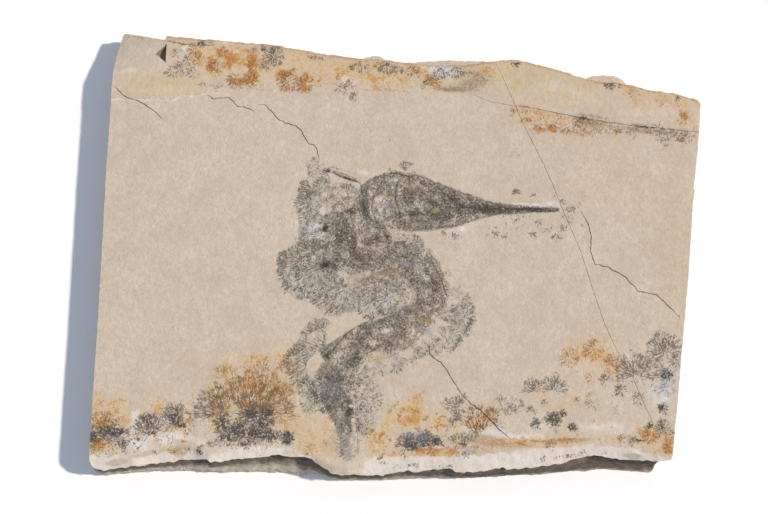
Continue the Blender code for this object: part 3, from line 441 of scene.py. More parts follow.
IRON_FRONDS = [
    (-70, -79, 72, 150, 24, 16, 0.9), (-82, -80, 106, 60, 18, 9, 0.9), (-60, -72, 40, 120, 12, 8, 0.85),
    (-88, -80, 150, 120, 8, 6, 0.6), (-46, -54, 180, 160, 12, 7, 0.6), (-147, -83, 60, 200, 5.5, 7, 0.85),
    (-141, -83, 90, 300, 6, 8, 0.85), (-135, -84, 80, 200, 4.5, 5, 0.7), (-145, -95, 60, 300, 5, 7, 0.8),
    (-104, -86, 60, 240, 5.5, 8, 0.95), (-110.5, -88, 100, 240, 4.5, 6, 0.7),
    (-124, -93, 110, 60, 8, 4, 0.7), (-116.5, -91, 80, 90, 5.5, 4, 0.7), (-107, -98, 90, 240, 3, 7, 0.7),
    (41, -90, 96, 90, 17, 10, 0.8), (-82, 93.5, 270, 300, 5, 9, 0.95), (-73, 93.5, 270, 300, 5.4, 10, 1),
    (-72, 101, 270, 360, 4.6, 8, 0.8), (-91.5, 101, 260, 300, 5.6, 9, 0.85),
    (-100, 104, 260, 360, 4.6, 7, 0.7), (-103, 110, 0, 360, 5, 7, 0.7), (-88, 108, 0, 360, 5, 7, 0.6),
    (-55, 92.5, 265, 330, 6.6, 13, 1), (-46.4, 91, 268, 330, 6, 12, 1), (-51.5, 97, 90, 330, 4, 7, 0.7),
    (-22.6, 91.6, 265, 330, 3.4, 7, 1), (-28, 95, 265, 330, 3.4, 5, 0.6), (18.4, 93, 265, 360, 4.4, 9, 0.9),
    (22.4, 91.8, 265, 360, 3.2, 7, 1), (-8, 90, 268, 200, 3.6, 6, 0.7), (-3, 90, 268, 200, 3.6, 6, 0.6),
    (13.5, 97, 0, 360, 3, 5, 0.7), (-35, 91.8, 268, 150, 1.8, 7, 0.8), (73.6, 70, -90, 130, 5.6, 9, 0.95),
    (81.4, 70.5, -90, 130, 6, 9, 0.95), (88, 68.5, -90, 110, 5.8, 7, 0.9), (92, 68, -90, 80, 5.4, 5, 0.7),
    (66.8, 74, -90, 80, 5, 5, 0.8), (61, 77, -90, 300, 2.6, 6, 0.9), (96.5, 68, -90, 80, 6, 6, 0.8),
    (101, 67, -90, 80, 4.4, 5, 0.7), (113.8, 66.6, -90, 200, 2.8, 6, 1), (145.6, 64, -90, 160, 3.6, 6, 0.8),
    (147.6, 72, 90, 360, 5, 7, 0.6), (122.5, 86, 90, 360, 4.5, 7, 0.5), (138, 81.4, 0, 360, 5, 6, 0.5),
    (86, -51, 90, 360, 6.5, 8, 0.6), (98, -47, 90, 360, 6.5, 8, 0.7), (106.5, -53, 90, 330, 5, 7, 0.8),
    (106, -60, 90, 360, 5, 6, 0.6), (12, -73, 90, 120, 6.5, 7, 0.45), (-2, -80, 100, 120, 7.5, 7, 0.4),
    (-12.5, -88, 100, 100, 6, 6, 0.5), (96.5, -70.5, 90, 200, 3.6, 5, 0.6),
    (124.5, -90, 90, 330, 5.6, 9, 0.8), (133.5, -96, 90, 360, 4.4, 8, 0.85),
    (-5.6, -101.5, 200, 200, 3.6, 7, 0.9), (30, -96.6, 90, 300, 3.4, 7, 0.9),
    (18, -96.5, 0, 300, 4.4, 7, 0.8), (62, -92.5, -60, 200, 3.2, 7, 0.9), (84, -92.2, 0, 240, 3, 5, 0.7),
    (48, -95, 0, 360, 3, 5, 0.4), (-50, -75, 90, 240, 5, 6, 0.5), (-83, -62, 95, 150, 9, 8, 0.55),
    (-67, -60, 90, 140, 12, 10, 0.55), (-55, -58, 85, 150, 9, 8, 0.55), (97, -61, 90, 330, 5, 7, 0.5),
    (-33, -95, 90, 360, 5, 6, 0.45), (-41, -97, 90, 330, 5, 6, 0.5), (-30, -81.5, 90, 360, 3, 5, 0.7),
]
# Fringes of tiny fronds along a line: the line, heading, x from, x to, reach and strength.
FRONT_RIM_BAND = [(-150, -103.4), (-128, -103.6), (0, -105.6), (30, -105.2), (72, -102.4), (104, -99)]
FLAKE_EDGE = [(-98, 92.6), (-84, 91), (-66, 92)]
RUST_LINE = [(-8, -102.6), (-4, -99), (0, -98), (10, -97.6), (20, -97.4), (28, -96.8), (34, -95.4)]
MANGANESE_FRINGES = [
    (STRIP_FOOT, -90, 92, 106, 4.8, 1.15), (STRIP_FOOT, -90, 106, 121, 2.4, 0.95),
    (STRIP_FOOT, -90, 121, 136, 4.4, 1.1), (STRIP_FOOT, -90, 136, 154.5, 7, 0.95),
    (STRIP_FOOT, 90, 90, 108, 1.6, 0.8), (STRIP_FOOT, -90, 121, 136, 5.5, 0.5),
    (FRONT_RIM_BAND, 90, -2, 30, 2.6, 0.9), (FRONT_RIM_BAND, 90, 72, 104, 3, 0.8),
    (FRONT_RIM_BAND, 90, -148, -126, 1.6, 0.6),
]
IRON_FRINGES = [
    (STRIP_FOOT, -90, 62, 100, 3, 0.7), (STRIP_FOOT, -90, 62, 100, 7, 0.5),
    (STRIP_FOOT, -90, 136, 154, 3, 0.5), (FLAKE_EDGE, -90, -98, -66, 3.6, 0.8),
    (RUST_LINE, 90, -8, 34, 2, 0.8), (RUST_LINE, -90, -6, 34, 1.4, 0.7),
]
# Loose specks of rust and of manganese: centre, half sizes, count and strength.
RUST_SPECKS = [
    (-98, 104, 9, 9, 50, 0.7), (-45, 92, 14, 3, 40, 0.8), (12, 96, 6, 4, 30, 0.7), (56, 99, 5, 3, 10, 0.5),
    (80, 68, 22, 4, 40, 0.6), (146, 74, 3, 8, 26, 0.7), (124, 84, 8, 4, 24, 0.5), (140, 82, 12, 3, 24, 0.5),
    (-140, -80, 10, 8, 40, 0.7), (-108, -84, 7, 8, 30, 0.6), (-50, -92, 16, 8, 70, 0.6),
    (-46, -78, 10, 8, 40, 0.5), (10, -78, 9, 8, 40, 0.5), (24, -84, 8, 6, 26, 0.5),
    (-10, -88, 8, 6, 30, 0.5), (44, -86, 10, 8, 40, 0.6), (94, -52, 12, 9, 60, 0.5),
    (72, -76, 10, 6, 30, 0.5), (92, -74, 10, 8, 30, 0.5), (128, -90, 8, 6, 40, 0.7),
    (86, -90, 14, 2, 30, 0.6), (30, -98, 8, 2, 20, 0.8), (-106, -97, 7, 2, 20, 0.7),
]
SPECKS = [
    (66, 17, 14, 7, 66, 0.95), (88, 24, 6, 9, 34, 1.1), (63, 53.5, 8, 3.4, 40, 0.4),
    (30, -12, 4, 9, 14, 0.5), (33, -20, 6, 6, 14, 0.45), (-40, 34, 8, 8, 22, 0.55),
    (-48, 22, 4, 12, 16, 0.55), (4, 10.5, 8, 2.5, 20, 0.9), (-10, 10, 7, 4, 26, 0.9),
    (-26, 31, 8, 7, 34, 1), (92, -66, 10, 10, 26, 0.45), (100, -72, 9, 8, 24, 0.55),
    (118, -56, 9, 9, 34, 0.9), (134, -56, 7, 12, 34, 0.9), (132, -86, 7, 7, 34, 0.9),
    (70, -78, 8, 8, 24, 0.7), (-136, -88, 12, 7, 36, 0.9), (-78, -86, 14, 9, 40, 1),
    (-60, -91, 9, 4, 24, 0.9), (-88, 104, 16, 6, 34, 0.5), (-108, 103, 9, 9, 40, 0.7),
    (0, 97, 20, 6, 30, 0.6), (40, 94, 10, 6, 34, 0.6), (126, 66, 30, 2.4, 120, 1.25),
    (82, 68, 20, 4, 40, 0.5), (12, -98.5, 22, 1.8, 40, 0.7), (-36, -90, 14, 8, 34, 0.5),
    (5, 79, 25, 5, 20, 0.3), (8, -54, 16, 5, 18, 0.6), (0, 0, 110, 70, 90, 0.28),
    (60, -40, 60, 40, 50, 0.26), (-100, -30, 40, 70, 50, 0.24), (44, -84, 10, 8, 26, 0.6),
    (112, -92, 14, 3, 24, 0.8), (24, -92, 10, 6, 20, 0.6),
]


def step_free(taken, x, y, parent):
    """Whether nothing but its own parent grows nearer than the crowding distance."""
    column, row = int(x // 1.0), int(y // 1.0)
    for i in (-1, 0, 1):
        for j in (-1, 0, 1):
            for index, px, py in taken.get((column + i, row + j), ()):
                if index != parent and (px - x) ** 2 + (py - y) ** 2 < FROND_CROWD * FROND_CROWD:
                    return False
    return True


def tufted(fronds):
    """Each large tuft as a fainter middle with small fans round its rim."""
    made = []
    for x, y, heading, spread, reach, stems, strength in fronds:
        if reach < LARGE_TUFT:
            made.append((x, y, heading, spread, reach, stems, strength))
            continue
        made.append((x, y, heading, spread, reach * MIDDLE_REACH, stems, strength * MIDDLE_STRENGTH))
        fans = max(2, round(math.radians(spread) * 0.6 * reach / FAN_APART))
        for fan in range(fans):
            angle = heading + spread * ((fan + 0.5) / fans - 0.5) + random.uniform(-7, 7)
            away = reach * random.uniform(0.5, 0.64)
            root = (x + away * math.cos(math.radians(angle)), y + away * math.sin(math.radians(angle)))
            made.append((*root, angle + random.uniform(-14, 14), FAN[0], reach * random.uniform(0.34, 0.48),
                         FAN[1], strength * random.uniform(1.1, 1.45)))
    return made


def grow_frond(nodes, links, taken, frond):
    """Grows one frond outwards from its root, all tips together, until it fills its reach."""
    x, y, heading, spread, reach, stems, strength = frond
    seed = random.uniform(0.0, 50.0)
    tips = []
    for stem in range(stems):
        angle = math.radians(heading + spread * ((stem + 0.5) / stems - 0.5) + random.uniform(-7, 7))
        tips.append((x + 0.3 * math.cos(angle), y + 0.3 * math.sin(angle), angle, -1))
    while tips:
        grown = []
        for px, py, angle, parent in tips:
            for turn in TIP_TURNS:
                way = angle + turn + random.gauss(0.0, TIP_WANDER)
                nx, ny = px + FROND_STEP * math.cos(way), py + FROND_STEP * math.sin(way)
                if step_free(taken, nx, ny, parent):
                    break
            else:
                continue
            run = math.hypot(nx - x, ny - y)
            bearing = math.atan2(ny - y, nx - x)
            if run > reach * (0.86 + 0.3 * noise.noise(Vector((bearing * 2.2, seed, 0.0)))):
                continue
            index = len(nodes)
            fade = 1.0 - 0.35 * run / reach
            nodes.append((nx, ny, strength * fade * random.uniform(0.8, 1.12)))
            taken.setdefault((int(nx // 1.0), int(ny // 1.0)), []).append((index, nx, ny))
            if parent >= 0:
                links.append((parent, index))
            way += 0.3 * math.sin(bearing - way)
            if random.random() < FORK_SHARE:
                fork = random.uniform(0.45, 0.8)
                grown.append((nx, ny, way + fork, index))
                grown.append((nx, ny, way - fork * random.uniform(0.1, 0.9), index))
            else:
                grown.append((nx, ny, way, index))
        random.shuffle(grown)
        tips = grown


def hanging(fringes):
    """The tiny fronds of the fringes, each with its own root on the line."""
    made = []
    for line, heading, start, end, reach, strength in fringes:
        x = start
        while x < end:
            root = (x, float(line_at(line, x)) + 0.1 * math.sin(math.radians(heading)))
            size = reach * random.uniform(0.4, 1.3)
            made.append((*root, heading + random.uniform(-20, 20), FRINGE[0], size, FRINGE[1],
                         strength * random.uniform(0.7, 1.1)))
            x += random.uniform(0.8, 2.0) * (0.7 + reach / 6.0)
    return made


def scattered(specks):
    """The loose specks, each a frond of a few twigs."""
    made = []
    for x, y, half_x, half_y, count, strength in specks:
        for _ in range(count):
            place = (random.gauss(x, half_x * 0.55), random.gauss(y, half_y * 0.55))
            made.append((*place, random.uniform(0, 360), SPECK[0], random.uniform(0.6, 1.6), SPECK[1],
                         strength * random.uniform(0.7, 1.2)))
    return made


def grow_all(fronds):
    """All fronds of one mineral: the points with their strength, and the links between them."""
    nodes, links, taken = [], [], {}
    for frond in fronds:
        grow_frond(nodes, links, taken, frond)
    return np.array(nodes), np.array(links, int)


def frond_field(points, fronds):
    """How full the frond is that each point lies in, and the point's offset from that frond's root."""
    best, offset = np.zeros(len(points)), np.zeros((len(points), 3))
    for x, y, heading, spread, reach, _, strength in fronds:
        near = np.nonzero(np.hypot(*(points - (x, y)).T) < reach * 1.2)[0]
        if not len(near):
            continue
        away = points[near] - (x, y)
        run = np.hypot(*away.T)
        bearing = np.degrees(np.arctan2(away[:, 1], away[:, 0]))
        turn = abs((bearing - heading + 180.0) % 360.0 - 180.0)
        ragged = np.array([noise.noise(Vector((b / 14.0, x, y))) for b in bearing])
        finer = np.array([noise.noise(Vector((b / 5.0, y, x))) for b in bearing])
        edge = reach * (0.95 + 0.22 * ragged + 0.16 * finer)
        sector = ramp((spread / 2 + 14.0 - turn) / 16.0) if spread < 340 else 1.0
        cover = strength * sector * ramp((edge - run) / 1.2) * (1.0 - 0.25 * run / reach)
        won = cover > best[near]
        best[near[won]] = cover[won]
        offset[near[won], :2] = away[won]
    return best, offset


random.seed(11)
manganese_fronds = (tufted(FISH_TUFTS) + MANGANESE_FRONDS + hanging(MANGANESE_FRINGES)
                    + scattered(SPECKS))
iron_fronds = IRON_FRONDS + hanging(IRON_FRINGES) + scattered(RUST_SPECKS)
manganese_nodes, manganese_links = grow_all(manganese_fronds)
iron_nodes, iron_links = grow_all(iron_fronds)


# ---------------------------------------------------------------------------------------------
# Stains without branches: iron rust and ochre, grey soot of manganese, bleached patches and the
# brown film left by the fish. They soaked into the stone and are only colour; the facet shade
# among them is painted shade on break faces of the bevel. Each is a soft blob: x, y, half sizes,
# strength and, where it lies aslant, its turn.
STAINS = {
    "ochre": [
        (97, -50, 10, 6, 0.35), (105, -54, 6, 7, 0.45), (97, -61, 6, 5, 0.35), (92, -72, 12, 6, 0.3),
        (-83, -57, 7, 5, 0.55), (-67, -52.4, 10, 5, 0.55), (-54.5, -53, 7, 6, 0.55), (-90, -66, 5, 5, 0.4),
        (8, -80.4, 8, 7, 0.95), (10, -73.6, 7, 4, 0.6), (20.6, -84, 8, 5.6, 0.42),
        (-7.4, -92, 5.6, 4.4, 0.8), (0.4, -78, 3, 4, 0.5), (-5, -84.6, 3, 5, 0.5),
        (-9, 96, 12, 6.6, 0.62, -6), (3, 93, 9, 6, 0.6, -4), (-33, 98.4, 12, 8, 0.55, -4),
        (47, 98.6, 8, 3, 0.6, 6), (90, -49, 8, 6, 0.5), (101, -49, 8, 7, 0.55), (107, -56, 5, 6, 0.5),
        (-20, 97, 16, 4, 0.5, -6), (20.4, 92, 3.6, 3, 0.8), (9, 98, 3, 1.4, 1), (74, -70, 9, 4, 0.4),
        (-60, 99, 12, 6, 0.4), (30, 92, 12, 6, 0.35), (-48, 103, 26, 7.5, 0.42, -7),
        (-84, 104, 17, 9, 0.62, -8), (0, 97, 28, 7, 0.3, -2), (-118, 90, 20, 6.5, 0.26, 2),
        (-105, 100, 12, 8, 0.3), (-40, -88, 16, 12, 0.4), (66, -93.6, 30, 2.2, 0.6), (46, -95, 15, 3, 0.4),
        (14, -99, 20, 1.4, 0.7), (100, 92, 50, 1.6, 0.3, -13), (62, 93, 10, 8, 0.22, -20),
        (46, 98, 12, 4, 0.35),
        # Back rim.
        (-84, 105, 15, 8.5, 0.75, -8), (-93, 99, 7, 6, 0.6), (-72, 99, 7, 8, 0.7), (-100, 106, 8, 5, 0.55),
        (-60, 105, 9, 5, 0.4, -8), (-40, 102, 14, 6, 0.42, -6), (-44, 95, 12, 5, 0.5, -6),
        (-24, 100, 9, 5, 0.55, -6), (-14, 97, 9, 8, 0.42), (-2, 94, 12, 7, 0.45), (6, 99, 6, 3, 0.6),
        (-9, 101, 4, 2.5, 0.85), (16, 97.5, 3, 2.2, 0.9, -20), (12, 100, 3.5, 1.6, 0.7),
        (20, 91, 7, 4, 0.5), (-8, 89, 3, 2, 0.5), (3, 89, 3, 2, 0.5), (38, 98, 9, 4, 0.35),
        (52, 97, 7, 5, 0.38), (60, 101, 9, 2.5, 0.45, -6), (72, 101, 6, 1.6, 0.5, -12),
        (78, 87, 5, 2.4, 0.42, -18), (88, 84, 6, 1.8, 0.5, -18), (66, 79.5, 14, 1.8, 0.5, -6),
        (122, 87.5, 6, 2.5, 0.55, -10), (126, 82, 7, 2.2, 0.5, -8), (138, 81.6, 7, 1.8, 0.6, -6),
        (148, 80, 6, 2.4, 0.6, -4), (147.5, 73, 2.2, 6.5, 0.55), (152, 70, 2, 5, 0.4),
        (118, 90, 5, 1.8, 0.45), (134, 85, 6, 2, 0.4), (-120, 86, 17, 3.2, 0.3, 2), (-104, 92, 12, 7, 0.22),
        (-127, 92, 10, 4, 0.16), (-112, 103, 6, 9, 0.25), (72, 74.5, 12, 3.4, 0.5, -8),
        (90, 71, 10, 3, 0.42, -10), (-135, 120, 8, 1.6, 0.4, -8),
        # Front rim.
        (-146, -76, 4.5, 9, 0.6), (-137, -76, 6, 6, 0.62), (-132, -83, 5, 5, 0.55),
        (-144, -84, 5.5, 4.5, 0.75), (-145, -94, 5, 4.5, 0.7), (-136, -96, 5, 3, 0.5),
        (-115.5, -75, 4, 5.5, 0.62), (-109, -84, 5, 6, 0.3), (-104, -84, 4, 5, 0.62),
        (-124, -84, 4, 8, 0.35), (-118, -92, 4, 5, 0.4), (-106, -97.5, 8, 2.2, 0.55, -8),
        (-88, -62, 6, 4.5, 0.22), (-82, -52, 7, 4, 0.36), (-62, -50, 13, 6, 0.3, 6), (-50, -56, 6, 6, 0.32),
        (-72, -66, 9, 8, 0.55), (-60, -68, 9, 8, 0.62, 20), (-82, -68, 8, 8, 0.5), (-88, -82, 6, 10, 0.42),
        (-68, -78, 16, 8, 0.5), (-52, -68, 6, 8, 0.5), (-55, -84, 9, 7, 0.42), (-42, -86, 11, 9, 0.4),
        (-40, -96, 12, 5, 0.42), (-47, -75, 5, 5, 0.42), (-43, -54, 6, 7, 0.3),
        (-33, -54, 8, 2.6, 0.42, 40), (-12, -88, 5, 7, 0.5), (-3, -83, 5, 7, 0.5), (8.5, -82, 4.4, 4, 1),
        (22, -84, 6, 5, 0.5), (30, -88, 4, 5, 0.4), (-8, -96, 8, 3.2, 0.55), (4, -99, 14, 1.6, 0.6),
        (26, -98.5, 7, 2.2, 0.72), (-12, -98, 5, 2, 0.6, 20), (42, -84, 10, 7, 0.36),
        (44, -94, 14, 3, 0.28), (66, -92.6, 12, 1.5, 0.42, -2), (84, -91.4, 9, 2.4, 0.5, 4),
        (88, -87, 5, 2.4, 0.4), (76, -88, 10, 3, 0.22), (106, -91.5, 14, 2, 0.42, -4),
        (124, -91, 8, 5, 0.52), (133, -94, 4, 7, 0.6), (128, -98, 6, 2.6, 0.5), (86, -50, 8, 8, 0.22),
        (98, -48, 8, 8, 0.25), (105, -55, 8, 8, 0.22), (92, -63, 12, 7, 0.16), (66, -74, 8, 5, 0.2),
        (78, -76, 8, 4, 0.16),
        # On and beside the fish.
        (-2, -8, 9, 2.6, 0.42, 4), (16, -33, 3.5, 2.6, 0.6), (8, -42, 3, 3, 0.55), (-8, -51, 5, 2, 0.5, 10),
        (20, 24, 4, 1.6, 0.35), (-26, -44, 4, 1.6, 0.42, 36), (-36, -59, 8, 2.4, 0.35, 38),
    ],
    "tan": [
        (-120, 90, 26, 7, 1, 1), (-48, 103, 44, 9, 1, -6), (0, 99, 36, 8, 0.9, -2),
        (56, 97, 34, 10, 0.95, -12), (104, 82, 52, 10, 0.6, -12), (-40, -90, 22, 12, 0.8),
        (60, -93, 44, 4, 0.8), (-134, -80, 18, 12, 0.5), (12, -86, 24, 13, 0.6), (128, -90, 14, 9, 0.8),
        (-75, -62, 26, 18, 0.45), (98, -50, 20, 14, 0.6), (80, -74, 22, 12, 0.5), (142, 10, 16, 60, 0.5),
        (74, 70, 26, 6, 0.7, -8), (-146, 85, 4, 12, 0.5), (86, 66, 14, 4, 0.8, -6), (146, 75, 10, 14, 0.6),
        (110, 40, 40, 30, 0.3),
    ],
    "rust": [
        (73.5, 66.6, 2.2, 2.6, 0.75), (80.6, 67.4, 2.2, 2.6, 0.75), (88, 65.6, 2.6, 3.4, 0.6),
        (94.4, 64.6, 3, 3, 0.6), (68, 72, 5, 1.8, 0.7, -12), (60, 74.6, 2, 1.6, 0.7),
        (113, 65.6, 2, 2.4, 0.9), (147.4, 74.6, 3, 5, 0.6, 10), (146, 61.4, 3, 2, 0.6),
        (94, -51, 7, 5, 0.5), (108, -54, 4, 4, 0.5), (88, -71, 5, 3, 0.4), (122, -88.4, 5, 4, 0.7, -30),
        (134, -95, 4, 5, 0.7), (16, -97, 9, 1.6, 0.8), (38, -95.4, 5, 1.4, 0.6), (46, -79, 6, 6, 0.5),
        (84, -91.6, 14, 1, 0.7, 4), (64, -94.6, 8, 1.2, 0.6, -8), (-102.3, 108.3, 4.6, 3, 0.7, -8),
        (-93.3, 102.9, 3.4, 4.6, 0.75, 10), (-94.3, 99.5, 3.4, 2.4, 0.8), (-84.3, 103.3, 6, 6, 0.75, -10),
        (-87.3, 108.5, 9, 2.2, 0.8, -10), (-73.3, 103.3, 4, 7, 0.85), (-72.7, 95.5, 3, 4.6, 1.1),
        (-79.7, 92.5, 5.4, 2.2, 1.1, -4), (-74.3, 109.3, 5, 2, 0.8), (-56.7, 96.3, 4.6, 3.6, 1.2),
        (-55.7, 88.5, 3.4, 2.4, 0.8), (-46.3, 94.7, 3, 4.2, 0.9), (-45.9, 89.3, 3, 2.6, 1.15),
        (-38.3, 92.7, 3, 0.8, 0.8), (-67.3, 111.9, 6, 1.6, 0.6, -6), (-58.3, 101.3, 3, 1.6, 0.5),
        (-143.3, -93.1, 4, 2.4, 0.9), (-144.3, -80.1, 3, 4, 0.5), (-84.3, -69.1, 4, 5, 0.6),
        (-67.3, -66.1, 8, 4, 0.6), (-59.3, -67.1, 3.4, 4, 0.7), (-99.9, -82.5, 2.4, 3, 0.7),
        (-104.3, -92.5, 5, 1, 0.8, -6), (-6.7, -89.7, 3, 1.2, 0.7, 20), (-44.3, -63.1, 2, 1.6, 0.6),
        (-109.3, 89.9, 1.6, 1, 0.3), (-129.7, 99.9, 1.2, 0.8, 0.7), (-16.3, 106.5, 4, 2, 0.6),
    ],
    # Painted shade: tan-grey on break facets of the bevel that face away from the light.
    "scar": [
        (-135, -102.6, 6, 1.6, 1.3, 8), (-122, -98.8, 7, 1.1, 1.3, 13), (-111, -96.2, 7, 1.2, 1.3, 9),
        (-102, -95.4, 5, 1.2, 1.3, -4), (-96, -97.6, 4.4, 1.6, 1.3, -40), (116, -99.6, 4.6, 1.3, 1.3, -6),
    ],
    "soot": [
        (-66, -85, 16, 7.5, 0.55), (-82, -86, 7, 7, 0.5), (-58, -91, 10, 3, 0.4), (-72, -79.5, 4, 4, 0.7),
        (-138, -89, 11, 5, 0.42), (-120, -84, 5, 7, 0.42), (-107, -80, 5, 6, 0.36),
        (-104, -96.4, 8, 1.6, 0.5, -6), (10, -94, 10, 4.2, 0.6), (42, -91, 11, 7, 0.3),
        (38, -97, 8, 3, 0.45), (44, -97.5, 14, 2.4, 0.34), (-26, -66, 10, 10, 0.55), (-23, -80, 8, 9, 0.5),
        (-22, -94, 5, 9, 0.42), (-33, -70, 9, 9, 0.32), (-36, -6, 10, 9, 0.42), (-44, -8, 14, 12, 0.2),
        (-26, -18, 10, 9, 0.34), (-28, 8, 10, 12, 0.4), (-28, 28, 9, 12, 0.34), (-2, -21, 10, 8, 0.4),
        (-8, -26, 14, 4, 0.4, 20), (6, 9, 10, 3, 0.35), (27, -30, 7, 6, 0.22), (14, -44, 8, 7, 0.22),
        (0, -52, 9, 5, 0.22), (-34, -50, 7, 7, 0.22), (134, -59.6, 3.4, 2.2, 1.3), (134, -56, 9, 11, 0.3),
        (119, -62, 8, 7, 0.28), (133, -44, 8, 6, 0.28), (-109, 100, 6, 5, 0.16), (-62, 105, 5.5, 4.5, 0.5),
        (-3, 99, 5, 4, 0.3), (27, 97, 6, 3, 0.16), (40, 92, 14, 4, 0.34), (36, 89, 9, 2.2, 0.42),
        (61, 53.5, 9, 4, 0.28, 12), (56, 50.8, 6, 2, 0.24, 16), (110, 91.6, 5, 2, 0.5),
        (103, 73.6, 12, 1.2, 0.75, -9), (122, 69.8, 16, 0.8, 0.75, -5), (145, 66.6, 12, 0.8, 0.55, -6),
        (92, 73.4, 6, 1.8, 0.5, -10), (137, 62, 14, 2.6, 0.16, -4), (62, -38, 5, 2, 0.1),
        (-146, 5, 2.2, 4, 0.3), (-147, -50, 1.8, 3.5, 0.3), (59, -64, 2.4, 2, 0.3), (102, 88, 3, 1.2, 0.12),
        (84, 85, 5, 2, 0.1), (60, 30, 18, 3, 0.1, -4), (80, -82, 6, 4, 0.2), (-38.6, 47, 6, 5, 0.14),
        (-140, 117, 3, 3, 0.2),
    ],
    "pale": [
        (85, 91.6, 5, 2.4, 0.3, -20), (94, 86, 10, 4, 0.2, -12), (113, 81.6, 14, 5, 0.2, -10),
        (133, 76, 14, 4, 0.22, -8), (46, -87.4, 8, 2.2, 0.9), (-124, -90.4, 6, 4, 0.8),
        (-110, -88.6, 6, 3, 0.9), (-66, -97, 20, 2.4, 0.7), (-126.3, -82.5, 3.4, 5, 1),
        (-117.3, -89.5, 6, 3, 0.95), (-108.3, -89.7, 5, 2.4, 0.9), (-112.3, -84.1, 3, 4, 0.7),
        (-103.3, -85.5, 3.4, 2.6, 0.8), (-125.3, -89.1, 4, 3, 0.8), (-40.3, 13.9, 6.4, 4.4, 0.9),
        (-35.3, 17.9, 4, 5, 0.5), (-120, 88, 22, 3, 0.3, 2), (24, 99, 8, 3.6, 0.95, -8),
        (16, 99.4, 3, 2, 0.5), (-24, 94, 6, 3, 0.6, -20), (-105, 110, 5, 2.2, 0.7, -8),
        (-87, 114, 8, 1.4, 0.6, -8), (-128, 110, 10, 5, 0.3, -6), (-136, 99, 8, 1.8, 0.4, 5),
        (-30, 22, 9, 9, 0.5), (-34, 20, 8, 6, 0.4), (-16, 44, 4, 2.6, 0.5), (3, 48, 4, 2, 0.2),
        (66, 26.4, 18, 1.6, 0.7, -2), (80, 27, 8, 3, 0.4), (34, 14, 8, 3, 0.45, 30), (-6, -22, 7, 5, 0.4),
        (-40, -20, 5, 8, 0.25), (-46, -60, 5, 5, 0.2), (-26, -48, 6, 3, 0.35, 40), (-128, -88, 5, 7, 0.55),
        (-124, -93, 8, 5, 0.75), (-111, -90, 7, 4.5, 0.8), (-104, -91, 8, 3, 0.45), (-48, -73, 5, 3.5, 0.6),
        (-56, -93, 12, 3, 0.4), (-30, -90, 8, 5, 0.25), (-18, -74, 4, 12, 0.3), (-4, -92, 6, 3, 0.4),
        (36, -81, 8, 4, 0.2), (34, -88, 6, 4, 0.35), (72, -84, 8, 5, 0.4), (104, -86, 18, 4, 0.4),
        (112, -76, 12, 8, 0.22), (130, -70, 8, 8, 0.45), (80, 90, 10, 4, 0.26, -16),
        (98, 84, 14, 5, 0.26, -10), (112, 88, 10, 3, 0.22, -6), (124, 76, 20, 4, 0.25, -6),
        (-30, -84, 4, 3, 0.4), (-60, 97, 6, 3, 0.25), (28, -88, 5, 5, 0.3), (96, -57, 14, 8, 0.2),
        (65, 21, 14, 5, 0.12), (60, -90, 16, 2, 0.5), (-95, -93, 6, 3, 0.4), (-12, -62, 5, 4, 0.2),
        (-8, -72, 10, 8, 0.12),
    ],
    "blue": [
        (75, 25.4, 8, 1.6, 1.1, -3), (53.7, 20.6, 4, 1.6, 0.5), (30.6, 11.6, 2.4, 2.2, 0.8, -60),
        (48, -87, 8, 2.4, 0.7), (132, -67.4, 7, 5, 0.8), (-40.3, 13.9, 5.6, 4, 0.8),
        (-126.3, -81.1, 3, 4.6, 0.5), (-106.3, -84.1, 3, 3, 0.6), (-67.3, -82.1, 9, 5, 0.5),
        (26, 99, 9, 3, 0.9, -8), (-24, 91, 6, 4, 0.3), (134, -62, 7, 8, 0.75), (131, -70, 7, 7, 0.5),
        (24, -26, 7, 4, 0.5, 30), (30, 13, 3.5, 3, 0.7), (70, 25.6, 14, 1, 0.9, -2), (-5, -22, 4.5, 4, 0.7),
        (-52, -91, 4.5, 4, 0.8), (-66, -89, 10, 5, 0.4), (-27, -18, 5, 6, 0.5), (-22, 10, 4, 4, 0.4),
        (-26, 20, 5, 5, 0.5), (-28, -68, 7, 9, 0.4), (37, -90, 6, 5, 0.5), (33, -96, 4, 4, 0.6),
        (118, -60, 8, 8, 0.3), (79, -67, 8, 6, 0.5), (-125, 104, 9, 4, 0.3), (100, 80, 16, 5, 0.22, -8),
        (-132, -90, 10, 4, 0.4), (-108, -91, 5, 3, 0.4), (8, 9, 4, 3, 0.4), (17, -35, 3.5, 2, 0.9),
        (-36, -10, 4, 6, 0.3), (134, -47, 8, 7, 0.3), (28, 97, 8, 4, 0.6), (-2, 100, 5, 3, 0.4),
    ],
    "film": [
        (128, 66.8, 30, 1.2, 0.25, -6.5), (100, 70.6, 8, 2, 0.5, -8), (112, 67, 10, 2.4, 0.2, -8),
        (36, 89.6, 13, 3.6, 0.4, 4), (40, 95, 10, 5, 0.4), (29, 88.2, 9, 1.3, 0.75, -4),
        (86, 66, 12, 2.4, 0.3, -8), (-26, -92, 6.5, 12, 0.42), (-38.5, 49, 4, 3, 0.12),
        (-28, 43.6, 10, 0.9, 0.75, -18), (-30, 46.4, 9, 0.7, 0.55, -14), (-22, 40.6, 6, 1.8, 0.5, -16),
        (-34, 20, 5, 14, 0.2), (-36, -58, 9, 3, 0.42, 40), (-30, -46, 6, 2.6, 0.4, 38), (-10, 9, 8, 4, 0.6),
        (3, 10.5, 9, 3, 0.45), (0, -9.6, 12, 2, 0.32, 3), (-33, -4, 6, 7, 0.42), (-30, -13, 9, 5, 0.32),
        (-18, -17, 7, 4, 0.3), (8, -44, 6, 5, 0.3, 45), (-6, -52.5, 8, 3, 0.34, 8), (-18, -70, 4, 10, 0.3),
        (40, -96, 10, 4, 0.28), (-106, -97.6, 7, 1.6, 0.4, -10), (44, 92, 9, 5, 0.3),
    ],
    "core": [
